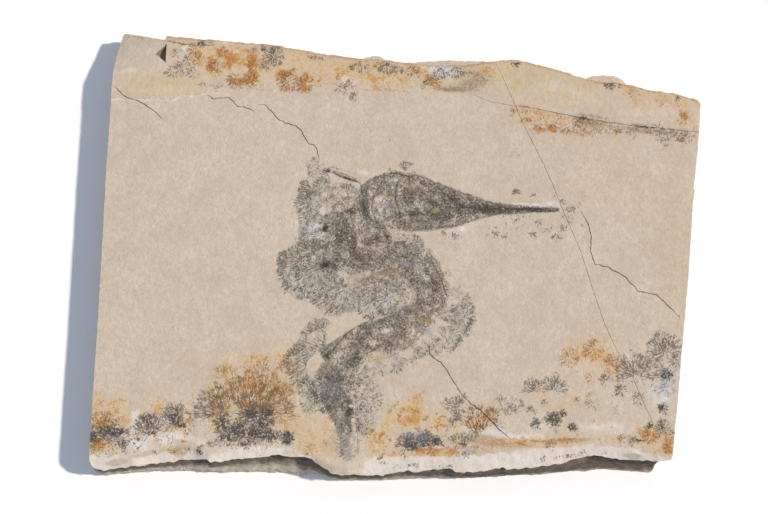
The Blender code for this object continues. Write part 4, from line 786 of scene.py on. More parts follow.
        (133.4, -59.8, 3.4, 2.2, 1.1), (7.5, -93.5, 3.4, 3.6, 1.4), (14.5, -92, 4.2, 3.4, 1.5),
        (20.5, -93, 3.2, 2.2, 1.3), (10, -95.4, 4, 1.6, 1), (-70, -80, 5.5, 4.6, 1, 20),
        (-62.5, -78.5, 4, 2.6, 1), (-64, -84, 8, 6, 0.7), (-75, -87, 7, 5.5, 0.95), (-84, -84, 4, 5, 0.9),
        (-68, -89, 7, 3.6, 1), (-82, -91, 5, 3, 0.85), (-61, -90, 5, 3, 1.1), (-52.4, -91, 3.4, 3.2, 1.25),
        (-74, -94, 5, 1.6, 0.7), (-88, -80, 3, 6, 0.5), (-139, -88, 9, 4, 0.85), (-147, -90, 3, 5, 0.8),
        (-133, -94, 5, 3, 0.75), (-121, -82, 4, 6, 0.8), (-117, -88, 3, 4, 0.8),
        (-108, -80, 4, 6, 0.8, -30), (-105, -85, 4, 3, 0.9), (-101, -96.6, 3, 1.2, 0.8, -20),
        (-95, -98, 2.4, 1.4, 0.9, -30), (134.2, -59.5, 3, 1.2, 1.6, -8), (134.2, -59.5, 5, 2.6, 0.5),
        (78, -82, 3.6, 3.2, 1.2, 30), (82.6, -79.4, 2, 1.6, 0.9), (70, -85, 2.4, 3, 0.8),
        (87, -86, 3, 1.6, 1.2), (125, -85.2, 1.8, 1.7, 1.1), (131, -76, 3.4, 2.2, 0.9, -20),
        (119, -92.4, 4, 1.4, 0.8), (130, -85, 3, 4, 0.6), (-62, 105.6, 5, 4, 0.5), (-67, 110, 2, 1.6, 0.8),
        (-99, 113, 3.2, 1.4, 1, -10), (-3, 102, 3.6, 1.6, 0.7), (-18, 101, 2, 3, 0.5),
        (24.6, 99.6, 3.6, 1.2, 0.6), (33, 99.6, 3, 1.2, 0.5), (63, 102.6, 2.6, 1.4, 0.9),
        (110.6, 91, 4, 1.4, 0.9, -6), (145, 83.6, 1.8, 1, 0.9), (-22, 84.6, 2.4, 2, 0.6),
        (97, 72.6, 4, 1.2, 0.9, -8), (128, 68, 12, 0.7, 0.8, -5), (-41, 105.6, 2.4, 1.6, 0.8),
        (34, -94, 2.4, 3, 0.7), (57, -88, 2, 1.4, 0.5), (-23, -88, 2, 2.6, 0.5), (-30, -64, 5, 4, 0.5),
        (-22, -78, 2.4, 3.6, 0.7),
    ],
    "olive": [
        (20, 23.6, 3.2, 1.4, 0.9, 4), (-30, 19.4, 2.2, 1, 0.7, -10), (6.5, -41.5, 3, 2.6, 0.6),
        (-32, -54, 6, 2.2, 0.6, 32), (-12, -36, 3, 4, 0.3, -30), (12, -30, 5, 3, 0.4), (-29, 14, 3, 6, 0.3),
    ],
    "brown": [
        (34, 88.6, 12, 2.4, 0.7, -2), (45, 97, 6, 5, 0.5), (22, 90, 6, 3, 0.4),
        (47, -92.6, 15, 3.2, 0.8, -8), (60, -94.4, 8, 1.6, 0.6, -6), (84, -92.4, 16, 1.2, 0.9, 3),
        (40, 91, 14, 3, 0.6, 8), (48, 98.6, 4, 3, 0.5), (126, 66.4, 26, 1.6, 0.7, -7),
        (102, 69.4, 9, 2.6, 0.8, -8), (-66, 101, 6, 5, 0.4), (-3, -8, 8, 2, 0.75, 4),
        (16.6, -33, 2.6, 1.8, 0.9), (-9, -52, 3.4, 1.6, 0.6), (-26, -45, 4, 1.8, 0.55, 36),
        (-4, 31, 2, 2, 0.5), (8, -44, 2, 3, 0.5), (-6, -42, 4, 3, 0.4), (9, 35.6, 6, 3, 0.4, -20),
        (10, -27, 5, 3, 0.35), (-36, -58, 2, 1, 0.6, 30), (-22, -96, 6, 8, 0.35), (-14, 1, 8, 3, 0.3),
        (-30, -81, 4, 2, 0.6),
    ],
    "violet": [
        (7, -4, 6, 1.6, 0.8, -12), (-4, 26, 2.6, 2.2, 0.8), (-20, -22, 2.6, 2.6, 0.8),
        (16.5, -38, 2.4, 2, 1), (-30, -9.6, 3, 1.4, 0.8), (-12, 38, 4, 2, 0.5, 20),
        (-5, 19, 4, 5, 0.4, -30), (13, -22, 4, 3, 0.4), (-32, -66, 8, 7, 0.55), (-22, -94, 5, 5, 0.5),
        (11, -90, 8, 3, 0.6), (2, -27, 4, 1.6, 0.6, 20),
    ],
}
# Brown outlines where the iron stains dried, given in the same way.
RINGS = [
    (8, -81.2, 6.6, 4.6, 1), (7.4, -76.6, 7.6, 5.4, 0.45), (18.6, -82.6, 3.6, 3.4, 1, 20),
    (24.6, -83, 3.6, 2.6, 0.9, -30), (23.6, -87.6, 3, 3.4, 0.7), (17.6, -88, 3.6, 3, 0.5),
    (-7.4, -92.4, 4.6, 3.6, 0.9), (-4.6, -91.6, 2.6, 2, 0.8), (-46, -75, 3.4, 4.2, 0.5, 20),
    (-39, -84, 5, 4, 0.45), (-30, -91, 4.4, 3.4, 0.4), (-52, -84, 4, 3, 0.45), (-44, -96, 6, 3, 0.4),
    (-143, -77, 3, 4.6, 0.5), (-134, -76, 3.6, 4.6, 0.55), (-115.4, -75.4, 3.4, 4.6, 0.55),
    (-141, -97.4, 6, 3, 0.6), (93, -50, 5, 4.4, 0.4), (105, -52, 4, 5, 0.45), (86, -54, 4, 3.4, 0.35),
    (13.9, 96.6, 3.6, 2.6, 0.6, -30), (20.4, 91.8, 3.4, 3, 0.6), (-9.6, 95, 9, 4.6, 0.5, -8),
    (2, 91.6, 6.6, 4, 0.45, -4), (-34, 98.6, 6, 5, 0.4), (124, -88, 4.6, 3.6, 0.6),
    (133.6, -94.6, 3, 4, 0.6), (74, -71, 5, 3, 0.35), (102, -84, 5, 3, 0.5), (88, 84.6, 6, 1.6, 0.4, -16),
    (139, 81.4, 6, 1.4, 0.5, -6),
]
# Where the brown film of the fish is strong beside its pieces, where it is darker, and where pale
# stone shows through it.
FILM_ZONES = [
    (-11, 7.4, 10, 5, 0.62), (-12, -12, 18, 5, 0.5), (4, -19, 12, 5, 0.36, -24), (-17, 22, 5, 18, 0.8),
    (-6, 10, 9, 4.5, 0.75), (-30, -13, 8, 6, 0.3),
]
DARK_ZONES = [
    (44, 24.8, 16, 2.6, 0.9, -4), (68, 24.6, 14, 0.9, 1.2, -2), (28, 31, 8, 3, 0.5, -26),
    (22, 21, 8, 2.6, 0.45), (11, 22, 4, 1.6, 0.6), (20, 28, 4, 1.6, 0.5, -30), (6, 31, 4, 4, 0.35),
    (-12, 8.4, 4, 2, 0.6, 10), (-3.6, 10.6, 1.6, 1.6, 0.8), (3, 7.2, 5, 1.2, 0.5), (-27, 10, 6, 8, 0.3),
    (-20.5, 8, 1.6, 9, 0.5), (-35, 14.4, 2.2, 1.6, 1.1, 50), (-22, 23.6, 2.6, 2, 0.7, -40),
    (-34.5, -4.4, 5.4, 2.8, 1, 10), (-18, -1, 6, 3, 0.35, -30), (-25, -15, 1.4, 1.2, 0.8),
    (-20, -21.6, 2.4, 2, 0.7), (20, -12, 3, 8, 0.35, 24), (-8, -33, 8, 2.6, 0.35, 28),
    (-16, -43, 5, 4, 0.35, 30), (-20, -52, 4, 2, 0.5, 40), (-33, -50.4, 2.2, 1.8, 0.9),
    (-33, -61, 2, 2, 0.6), (-29, -63, 4, 3, 0.5), (-32, -68, 8, 7, 0.3), (-33.5, -75.5, 3, 2, 0.6, -50),
    (-22, -77.5, 2.4, 3.4, 0.75), (-22, -86, 1.4, 3, 0.4), (-17, -87.6, 1.4, 3, 0.7, 30),
    (-24, -70, 3, 8, 0.3), (-2, -44, 3, 6, 0.3, -30), (16, 37.5, 4, 1.4, 0.3, -24),
    (-14, -36, 5, 1.6, 0.3, 32), (-15, 24, 2.4, 5, 0.35, 14), (-27, -17, 6, 5, 0.2),
]
PALE_ZONES = [
    (-23.3, 39.9, 8, 6, 0.9), (-26.3, 32.9, 5, 4, 0.6), (-32.3, 5.9, 2, 12, 0.4), (-8, 27, 5, 7, 0.55),
    (-5, 22, 4, 5, 0.35, -30), (0.5, 40, 3, 2.4, 0.45), (3, 31, 1.6, 4, 0.3), (-25, 37, 4, 3, 0.9),
    (-22, 33, 4, 3, 0.6), (-27, 27, 6, 5, 0.45), (2, 11.5, 4, 3, 0.9), (-14, 12.5, 4, 4, 0.35),
    (-17, 8, 1.6, 4, 0.2), (-19, 16, 1.6, 4, 0.4), (-10, 5, 6, 2, 0.1), (-28, -8, 8, 2, 0.3),
    (-22, -12, 8, 2.4, 0.15), (-8, -11.6, 8, 1.6, 0.1), (4, -12, 4, 2, 0.5, -30), (8, -20, 3, 4, 0.9),
    (18, -7.5, 1.2, 4, 0.6, 28), (14, 3, 3, 2, 0.3, -40), (-4, -38, 2, 1.2, 0.9), (-10, -43, 3, 2, 0.4, 30),
    (-24, -44, 4, 1.6, 0.5, 36), (-29, -51, 5, 2.4, 0.55, 38), (-17, -62, 2, 5, 0.6), (-29, -80, 3, 4, 0.4),
    (-22, -93, 5, 6, 0.4), (-22, -99, 5, 3, 0.5), (-17, -80, 2, 10, 0.8), (-36, -64, 2, 4, 0.3),
    (0, -46, 5, 3, 0.2, 30), (-8, -50, 6, 2.4, 0.5, 8), (9, -40, 3, 4, 0.3), (-30, 22, 2, 3, 0.3),
    (-33, 30, 2.4, 8, 0.5), (-14, -49, 4, 3, 0.25),
]
# Dark seams in the bone: points, half width and strength.
INK_LINES = [
    ([(-2.5, 43.4), (1, 43.6), (4, 42.9), (8.4, 41.4)], 0.7, 1.2),
    ([(-16, 38.4), (-12, 40.7), (-8, 42.2), (-3, 43.2)], 0.6, 0.5),
    ([(12, 42.2), (17, 39.8), (22, 38.2), (28, 35.4), (34, 33.1), (42, 30.2)], 0.6, 0.8),
    ([(14, 43), (22, 39.4), (34, 34.8)], 0.35, 0.45),
    ([(-36, 45.4), (-31, 44.2), (-27, 42), (-20, 39.8), (-17, 38.2), (-16.4, 36.6)], 0.8, 1.3),
    ([(-34, 42.6), (-29, 42.2), (-24, 40.2)], 0.5, 0.7),
    ([(-34.5, 48.8), (-28, 46.4), (-22, 43.8), (-19, 42.4)], 0.35, 0.75),
    ([(-14, 34), (-14.8, 31), (-15.5, 28), (-15.6, 25), (-14.5, 22), (-12, 19.5), (-8, 17)], 0.7, 1),
    ([(-19, 36), (-18.6, 30), (-17.6, 26)], 0.7, 0.6), ([(0.2, 36), (0.6, 30), (1.2, 25)], 0.8, 0.8),
    ([(2.5, 33.4), (4.6, 34.6), (7.4, 34)], 0.6, 0.8), ([(5, 28), (7.4, 30), (8.4, 27)], 0.6, 0.7),
    ([(9, 22.4), (12, 22.8), (15, 21.4)], 1, 0.8), ([(21, 23), (24, 22), (27.4, 20.8)], 1, 0.8),
    ([(16, 28.4), (20, 28), (23, 26.2)], 0.8, 0.8), ([(24, 33.4), (28, 31), (33, 29)], 1, 0.7),
    ([(8, 14.6), (14, 14.5), (19, 15.3), (24, 15.2), (30, 16.7), (37, 18.8)], 0.5, 0.9),
    ([(24, 25), (36, 25.2), (50, 24.9), (62, 24.8), (80, 24.5)], 0.6, 0.9),
    ([(44, 29.4), (58, 26), (80, 24.9)], 0.4, 0.9),
    ([(-20, 18), (-19.6, 12), (-20.2, 6), (-21, 2)], 0.9, 0.6),
    ([(-31, 24), (-27, 19), (-24, 14), (-24, 8)], 0.6, 0.5), ([(-4.4, 11.6), (-3.4, 9.6)], 1.2, 0.9),
    ([(-18, 0.5), (-14, -3), (-12, -5)], 1.2, 0.7), ([(-29, -9.4), (-26.4, -12)], 0.7, 0.8),
    ([(12, -0.5), (15, -4), (18, -10), (19.4, -15)], 0.9, 0.7),
    ([(16, 1.4), (19, -3.4), (22, -9), (24.4, -15), (25.6, -19.6), (24.8, -24)], 0.7, 1),
    ([(24, -25), (20, -27)], 0.8, 0.7), ([(21, -30), (19.8, -33), (19.4, -38)], 0.5, 0.9),
    ([(-4, -29.2), (-10, -30.8), (-15, -34), (-20, -36.6), (-24, -39.4), (-28, -44),
      (-31, -48.5)], 0.9, 0.9),
    ([(-17, -40), (-16, -43), (-16.6, -47)], 0.9, 0.6), ([(4, -38), (1, -44), (-3, -48)], 1, 0.5),
    ([(-19, -50), (-23, -53), (-27, -58)], 1.2, 0.6), ([(-35, -60), (-32, -62.4)], 0.8, 0.9),
    ([(-36, -72), (-34, -75), (-32.4, -78)], 0.9, 0.7), ([(-23, -74), (-21.4, -79)], 1.5, 0.6),
    ([(-18.4, -85), (-16, -89.6)], 0.8, 0.9), ([(-26, -84), (-26, -90), (-25, -98)], 0.8, 0.4),
    ([(-6, -3), (2, -4.4), (8, -5.6), (12, -8)], 0.7, 0.4), ([(0, 4), (8, 3.4), (14, 0.4)], 0.6, 0.4),
    ([(-28, 34), (-26, 30), (-29, 27)], 0.8, 0.6),
]
# The lines that the streaks of the trunk and of the skull follow.
TRUNK_LINE = [
    (-27, 42), (-26.5, 20), (-26.5, 8), (-23, -1), (-14, -3.4), (-2, -2.8), (8, -5.4), (15, -12),
    (16.4, -19), (12.6, -27), (3, -35), (-8, -40.6), (-19, -45.6), (-27, -53), (-29, -64), (-26.4, -76),
    (-23.6, -88), (-22, -104),
]
SKULL_LINE = [(-20, 26), (0, 28.6), (20, 27.4), (40, 25.8), (60, 25), (84, 24.5)]
STREAK_LENGTH, STREAK_WIDTH = 3.0, 0.55
# The film's strength at the rim of its piece, and what it loses in each millimetre outwards.
SKULL_FILM, TRUNK_FILM = (0.62, 0.3), (0.5, 0.13)


def in_ellipse(points, x, y, half_x, half_y, turn=0):
    """Each point's place along and across an ellipse, both 1 at its rim."""
    run, rise = points[:, 0] - x, points[:, 1] - y
    turn = math.radians(turn)
    return ((run * math.cos(turn) + rise * math.sin(turn)) / half_x,
            (rise * math.cos(turn) - run * math.sin(turn)) / half_y)


def stain(points, blobs):
    """How strong a kind of stain is at each point, from its soft blobs."""
    total = np.zeros(len(points))
    for x, y, half_x, half_y, strength, *turn in blobs:
        along, across = in_ellipse(points, x, y, half_x, half_y, *turn)
        total = np.maximum(total, strength * np.exp(-(along ** 2 + across ** 2) ** 1.3))
    return total


def rings(points, loops):
    """Thin wandering outlines round ellipses."""
    total, wander = np.zeros(len(points)), 0.3 * field(points, 4.4, 83.0, 2)
    for x, y, half_x, half_y, strength, *turn in loops:
        along, across = in_ellipse(points, x, y, half_x, half_y, *turn)
        gap = abs(np.hypot(along, across) + wander - 1.0) * min(half_x, half_y)
        total = np.maximum(total, strength * ramp(1.1 - gap / 0.5))
    return total


def along_line(points, line):
    """Run along a line in millimetres and signed distance from it, as streak coordinates."""
    _, place, side = follow(points, line)
    lengths = np.hypot(*np.diff(np.array(line, float), axis=0).T)
    return np.interp(place, range(len(line)), [0.0, *np.cumsum(lengths)]), side


def bone_film(points):
    """How strong the fish's film is at each point, its dark seams and its streak coordinates."""
    skull_gap, trunk_gap = distance_out(points, skull_rim), distance_out(points, trunk_rim)
    ragged = ramp((4.0 - points[:, 0]) / 14.0) * ramp((60.0 - points[:, 1]) / 10.0)
    frayed = trunk_gap + ragged * (2.0 + 3.4 * field(points, 5.5, 71.0, 3))
    film = np.maximum(SKULL_FILM[0] - SKULL_FILM[1] * skull_gap, TRUNK_FILM[0] - TRUNK_FILM[1] * frayed)
    film = np.clip(np.maximum(film, stain(points, FILM_ZONES)), 0.0, 0.95)
    dark, pale = stain(points, DARK_ZONES), stain(points, PALE_ZONES)
    ink = np.zeros(len(points))
    for line, half, strength in INK_LINES:
        ink = np.maximum(ink, 0.8 * strength * ramp(1.0 - distance_to(points, line) / half) ** 0.7)
    skull_run, skull_side = along_line(points, SKULL_LINE)
    trunk_run, trunk_side = along_line(points, TRUNK_LINE)
    on_skull = skull_gap < trunk_gap
    run = np.where(on_skull, skull_run + 300.0, trunk_run)
    narrowing = np.interp(skull_run, [0, 20, 40, 60, 80, 110], [1.0, 1.0, 1.2, 2.0, 3.5, 6.0])
    side = np.where(on_skull, skull_side * narrowing, trunk_side)
    return {"bone": film + dark * 0.35 - pale * 0.45, "ink": ink, "tone": dark - pale,
            "streak": np.column_stack([run / STREAK_LENGTH, side / STREAK_WIDTH, np.zeros(len(points))])}


def crowding(points, nodes, blur):
    """How densely fronds fill the surroundings of each point, from 0 to about 1."""
    cell, full, low, cells = 0.5, 1.8, np.array([-160.0, -125.0]), (640, 520)
    span = [(0, count * cell) for count in cells]
    grid = np.histogram2d(nodes[:, 0] - low[0], nodes[:, 1] - low[1], cells, span, weights=nodes[:, 2])[0]
    reach = math.ceil(blur * 3 / cell)
    kernel = np.exp(-(np.arange(-reach, reach + 1) * cell / blur) ** 2 / 2)
    kernel /= kernel.sum()
    for axis in (0, 1):
        grid = np.apply_along_axis(np.convolve, axis, grid, kernel, "same")
    column, row = np.clip(((points - low) / cell).astype(int), 0, np.array(cells) - 1).T
    return grid[column, row] / cell ** 2 / full


def stains_at(points):
    """Every kind of stain, and the painted facet shade, over the plan points, the same on the slab and on the
    pieces in it.
    """
    black, black_frond = frond_field(points, manganese_fronds)
    rusty, rusty_frond = frond_field(points, iron_fronds)
    halo = ramp(1.5 * frond_field(points, FISH_TUFTS)[0])
    values = {key: stain(points, blobs) for key, blobs in STAINS.items()}
    values["ochre"] += 0.35 * crowding(points, iron_nodes, 1.0)
    crept = 0.4 * crowding(points, manganese_nodes, 1.3) + 0.3 * black
    values["soot"] = np.maximum(values["soot"], np.maximum(crept, 0.48 * halo))
    return {**values, "black": black, "black_frond": black_frond, "rusty": rusty,
            "rusty_frond": rusty_frond, "halo": halo, "ring": rings(points, RINGS),
            **bone_film(points)}


# ---------------------------------------------------------------------------------------------
# The limestone slab: one closed body, its top a bedding plane, its sides split into thin layers,
# its underside flat, so that it lies on the ground without rocking.
SHEET_STEP = 0.72
SHEET_SPACING = 1.55
# The least gaps in the mesh: of fronds from lines, of the two minerals, of loose points from
# fronds and from lines, near and far. The mesh is fine this far round the fronds.
LINE_CLEAR, MINERAL_CLEAR, FROND_CLEAR, NEAR_CLEAR, FAR_CLEAR = 0.16, 0.3, 0.36, 0.288, 0.8
FINE_ROUND = 1.3
# How far the side stands out at its rounded edge and its two ledges, and how far the foot and
# the two joint faces draw in.
EDGE_ROUND, UPPER_STEP, LOWER_STEP, FOOT_ROUND, JOINT_INSET = 0.45, 0.7, 0.35, 0.5, 0.75
# The hollow under the rim in front: at which share of the height it is deepest, and how deep.
UNDERCUT = (0.16, 1.1)
# The large hollows of the front side: middle and half width, and how deep they go.
FRONT_HOLLOWS, HOLLOW_DEPTH = [(-66.0, 34.0), (112.0, 28.0)], 3.0
# Where the near right corner starts to be undercut, from the left and from the back.
NEAR_CORNER = (126.0, -78.0)
# The shares of the height at which the lower layers start to stand out.
UPPER_LEDGE, LOWER_LEDGE = 0.32, 0.64
# Tongues of the lower layers behind the back rim: middle, half width and reach.
BACK_LUMPS = [(-10, 6.5, 3.6), (28, 22, 3.9), (109, 11, 5)]
# The shares of the height at which the side has a ring of points.
SIDE_DEPTHS = [
    0.012, 0.035, 0.07, 0.11, 0.16, 0.2, 0.25, 0.3, 0.33, 0.36, 0.41, 0.47, 0.53, 0.59, 0.635, 0.665, 0.72,
    0.78, 0.84, 0.9, 0.95, 0.985, 1.0,
]
# The share of the height at which the painted shade under the front rim ends, over x.
LIT_OVER, LIT_FROM = [-60.0, 60.0, 118.0, 136.0], [0.76, 1.06, 1.06, 0.86]
# Dark seams along the strip, the flake and the rims: points, half width and strength. Along the feet of the
# strip and the flake they are partly brown stain and partly painted shade of the step face.
SEAMS = [
    ([(58, 79.8), (67, 78.9), (80, 76.1), (93, 73.5)], 0.5, 0.55),
    ([(90, 74.1), (100, 72.1), (110, 70.3), (121, 69), (133, 67.6), (146, 66.1), (155, 65.2)], 0.55, 0.6),
    ([(-116.4, 114.4), (-112, 113.8), (-107, 112.8), (-99, 112.2), (-92, 112.6)], 0.6, 0.8),
    ([(-137.5, 118.2), (-130, 116.9), (-125, 116.4), (-119, 114.8)], 0.6, 0.5),
    ([(-137, 101.9), (-131, 102.3)], 0.4, 0.3),
    ([(-10, 85.6), (6, 86.4), (26, 86), (40, 85.4)], 0.35, 0.22),
    ([(-62, 89.4), (-46, 89.8), (-38, 91.2)], 0.35, 0.3),
    ([(58, -91.2), (72, -92.6), (84, -90.6)], 0.4, 0.6),
    ([(35, -97.4), (48, -98.2), (58, -96.4), (66, -94.8)], 0.4, 0.4),
]
seams = [(roughen(line, 0.9, 0.35, 3.0, 27.0), half, strength) for line, half, strength in SEAMS]


def tree_of(points):
    """A search tree of plan points."""
    tree = kdtree.KDTree(len(points))
    for index, point in enumerate(points):
        tree.insert((point[0], point[1], 0.0), index)
    tree.balance()
    return tree


def nearest(tree, points):
    """Distance of each point to the nearest in the tree, endless where the tree is empty."""
    found = [tree.find((x, y, 0.0))[2] for x, y in points]
    return np.array([math.inf if gap is None else gap for gap in found])


def jittered(low, high, step):
    """A staggered grid of slightly moved points between two corners."""
    rows = np.arange(low[1], high[1], step * 0.87)
    made = []
    for count, y in enumerate(rows):
        x = np.arange(low[0] + step * 0.5 * (count % 2), high[0], step)
        made.append(np.stack([x, np.full(len(x), y)], 1))
    made = np.vstack(made)
    shift = np.array([[random.uniform(-0.24, 0.24), random.uniform(-0.24, 0.24)] for _ in made])
    return made + shift * step


def sheet(rim, holes, lines, closer, step, spacing, keep_out=()):
    """Flat triangles inside the closed rim, with loops, lines and mineral fronds held in them.

    Returns the points, the triangles and the two mineral strengths at each point.
    """
    points, edges = [], []
    for loop in [rim] + holes:
        start = len(points)
        points += [tuple(p) for p in loop]
        edges += [(start + i, start + (i + 1) % len(loop)) for i in range(len(loop))]
    for line in lines:
        start = len(points)
        points += [tuple(p) for p in line]
        edges += [(start + i, start + i + 1) for i in range(len(line) - 1)]
    fixed = tree_of(points)
    inset = offset_outline(rim, -0.5)
    strengths = [(0.0, 0.0)] * len(points)
    grown = []
    for kind, nodes, links in ((0, manganese_nodes, manganese_links), (1, iron_nodes, iron_links)):
        place = nodes[:, :2]
        kept = inside(place, inset)
        for loop in keep_out:
            kept &= ~inside(place, offset_outline(loop, 0.2))
        kept[kept] = nearest(fixed, place[kept]) > LINE_CLEAR
        if kind:
            kept[kept] = nearest(tree_of(grown), place[kept]) > MINERAL_CLEAR
        start = np.cumsum(kept) - 1 + len(points)
        for x, y, strength in nodes[kept]:
            points.append((x, y))
            strengths.append((0.0, strength) if kind else (strength, 0.0))
            grown.append((x, y))
        edges += [(int(start[a]), int(start[b])) for a, b in links if kept[a] and kept[b]]
    grown_tree = tree_of(grown)
    low, high = np.min(rim, 0), np.max(rim, 0)
    for apart, near, clear in ((step, True, NEAR_CLEAR), (spacing, False, FAR_CLEAR)):
        loose = jittered(low, high, apart)
        loose = loose[inside(loose, inset)]
        for loop in keep_out:
            loose = loose[~inside(loose, loop)]
        gap = nearest(grown_tree, loose)
        fine = (gap < FINE_ROUND) | closer(loose)
        loose = loose[(fine & (gap > FROND_CLEAR)) if near else ~fine]
        loose = loose[nearest(fixed, loose) > clear]
        points += [tuple(p) for p in loose]
        strengths += [(0.0, 0.0)] * len(loose)
    found = geometry.delaunay_2d_cdt([Vector(p) for p in points], edges, [], 0, 1e-5, True)
    flat = np.array([tuple(v) for v in found[0]])
    strength = np.array([strengths[ids[0]] if ids else (0.0, 0.0) for ids in found[3]])
    faces = np.array(found[2])
    faces = faces[inside(flat[faces].mean(1), rim)]
    return flat, faces, strength


def boundary(faces):
    """The outer loop of a sheet of triangles, in the faces' own turning direction."""
    paired = {(b, a) for face in faces for a, b in zip(face, np.roll(face, -1))}
    following = {a: b for face in faces for a, b in zip(face, np.roll(face, -1)) if (a, b) not in paired}
    loop = [min(following)]
    while following[loop[-1]] != loop[0]:
        loop.append(following[loop[-1]])
    return loop


def wall(upper, lower):
    """The quads between two rings of points."""
    after = [(i + 1) % len(upper) for i in range(len(upper))]
    return [(upper[j], upper[i], lower[i], lower[j]) for i, j in enumerate(after)]


def under_side(ring, points):
    """The flat triangles that close a ring from below."""
    found = geometry.delaunay_2d_cdt([Vector(points[i][:2]) for i in ring],
                                     [(i, (i + 1) % len(ring)) for i in range(len(ring))], [], 0, 1e-6, False)
    flat = np.array([tuple(v) for v in found[0]])
    if len(flat) != len(ring):
        raise ValueError("the underside needs points beyond its own ring")
    middle = flat[np.array(found[2])].mean(1)
    kept = inside(middle, flat)
    return [tuple(ring[i] for i in reversed(face)) for face, keep in zip(found[2], kept) if keep]


def make_body(name, points, faces, values):
    """A closed mesh from points in millimetres, with a named strength of each stain at every point."""
    place = np.array(points)
    place[:, :2] -= CENTRE
    low, high = np.array(cad_low) / MM + 0.02, np.array(cad_high) / MM - 0.02
    low[2] = 0.0
    place = np.clip(place, low, high)
    mesh = bpy.data.meshes.new(name)
    mesh.from_pydata([tuple(p) for p in place * MM], [], [tuple(int(i) for i in face) for face in faces])
    for key, value in values.items():
        kind, field_name = ("FLOAT", "value") if value.ndim == 1 else ("FLOAT_VECTOR", "vector")
        made = mesh.attributes.new(key, kind, "POINT")
        made.data.foreach_set(field_name, np.asarray(value, np.float32).ravel())
    mesh.update()
    body = bpy.data.objects.new(name, mesh)
    bpy.context.scene.collection.objects.link(body)
    return body


def slab_height(points):
    """The finished top of the slab, with its cracks and the seats of the fish."""
    height = bedding_height(points)
    for line in cracks:
        height -= CRACK_DEPTH * closeness(points, line, CRACK_HALF)
    height -= JOINT_DEPTH * closeness(points, joint, JOINT_HALF)
    for loop in fossil_rims:
        deep = ramp((0.1 - distance_out(points, loop)) / 0.05)
        height = np.where(deep > 0.01, height * (1.0 - deep) + SEAT_FLOOR * deep, height)
    return height


def side_reach(place, out, depth):
    """How far the side stands out from the rim at a share of its height."""
    x, y = place.T
    front, back = ramp(-out[:, 1] * 1.6 - 0.5), ramp(out[:, 1] * 1.6 - 0.5)
    reach = EDGE_ROUND * ramp(depth / 0.03) + front * np.maximum(y - line_at(FRONT_FOOT, x), 0.0) * depth
    reach -= front * UNDERCUT[1] * ramp(1.0 - abs(depth - UNDERCUT[0]) / UNDERCUT[0])
    if depth > UPPER_LEDGE:
        ledge = np.full(len(x), UPPER_STEP)
        for middle, half, size in BACK_LUMPS:
            ledge += size * np.sqrt(np.maximum(1.0 - ((x - middle) / half) ** 2, 0.0))
        reach += back * ledge * ramp((depth - UPPER_LEDGE) / 0.03)
    layer = round(depth * 11)
    reach += 0.5 * field(place, 17.0, layer * 1.7) * ramp(depth / 0.05)
    reach += (0.25 + 0.35 * front) * field(place, 3.1, depth * 9.0, 3) * ramp(depth / 0.05)
    if depth > LOWER_LEDGE:
        reach += (LOWER_STEP + 0.5 * field(place, 23.0, 9.0 / 23.0)) * ramp((depth - LOWER_LEDGE) / 0.03)
    reach -= FOOT_ROUND * ramp((depth - 0.95) / 0.05)
    reach -= JOINT_INSET * (1.0 - front - back)
    hollow = np.max([ramp(1.0 - abs(x - middle) / half) for middle, half in FRONT_HOLLOWS], 0)
    reach -= front * HOLLOW_DEPTH * np.sqrt(hollow) * ramp(depth / 0.05) * ramp((0.75 - depth) / 0.5)
    return np.maximum(reach, -4.0)


def corner_inset(place, depth):
    """How far the undercut of the near right corner takes a side point back, at a share of its height."""
    x, y = place.T
    share = 0.55 * ramp(depth / 0.25) + 0.3 * depth
    return np.maximum(x - NEAR_CORNER[0], 0.0) * share * ramp((NEAR_CORNER[1] - y) / 18.0)


def detailed(points):
    """Whether a point needs the finer mesh: on the bevel or near the fish's own marks."""
    near = points[:, 1] < line_at(BEVEL_TOP, points[:, 0]) + 1.5
    for line, half, _ in INK_LINES:
        near |= distance_to(points, line) < half * 1.6 + 1.0
    return near | (stain(points, STAINS["film"]) > 0.2)


def slab_lines(inset):
    """The lines that the slab's triangles keep to: feet of the layers, crease, cracks and seams."""
    lines = [strip_foot, strip_foot + (0.0, STRIP_STEP), flake_foot, flake_foot + (0.0, FLAKE_STEP),
             corner_crease[corner_crease[:, 0] < CORNER_EAST - 0.8]]
    for crack in cracks:
        lines += [crack, *beside(crack, CRACK_HALF)]
    lines += [line for line, _, _ in seams]
    lines += [joint, *beside(joint, JOINT_HALF)]
    return [line[inside(line, inset)] for line in lines]


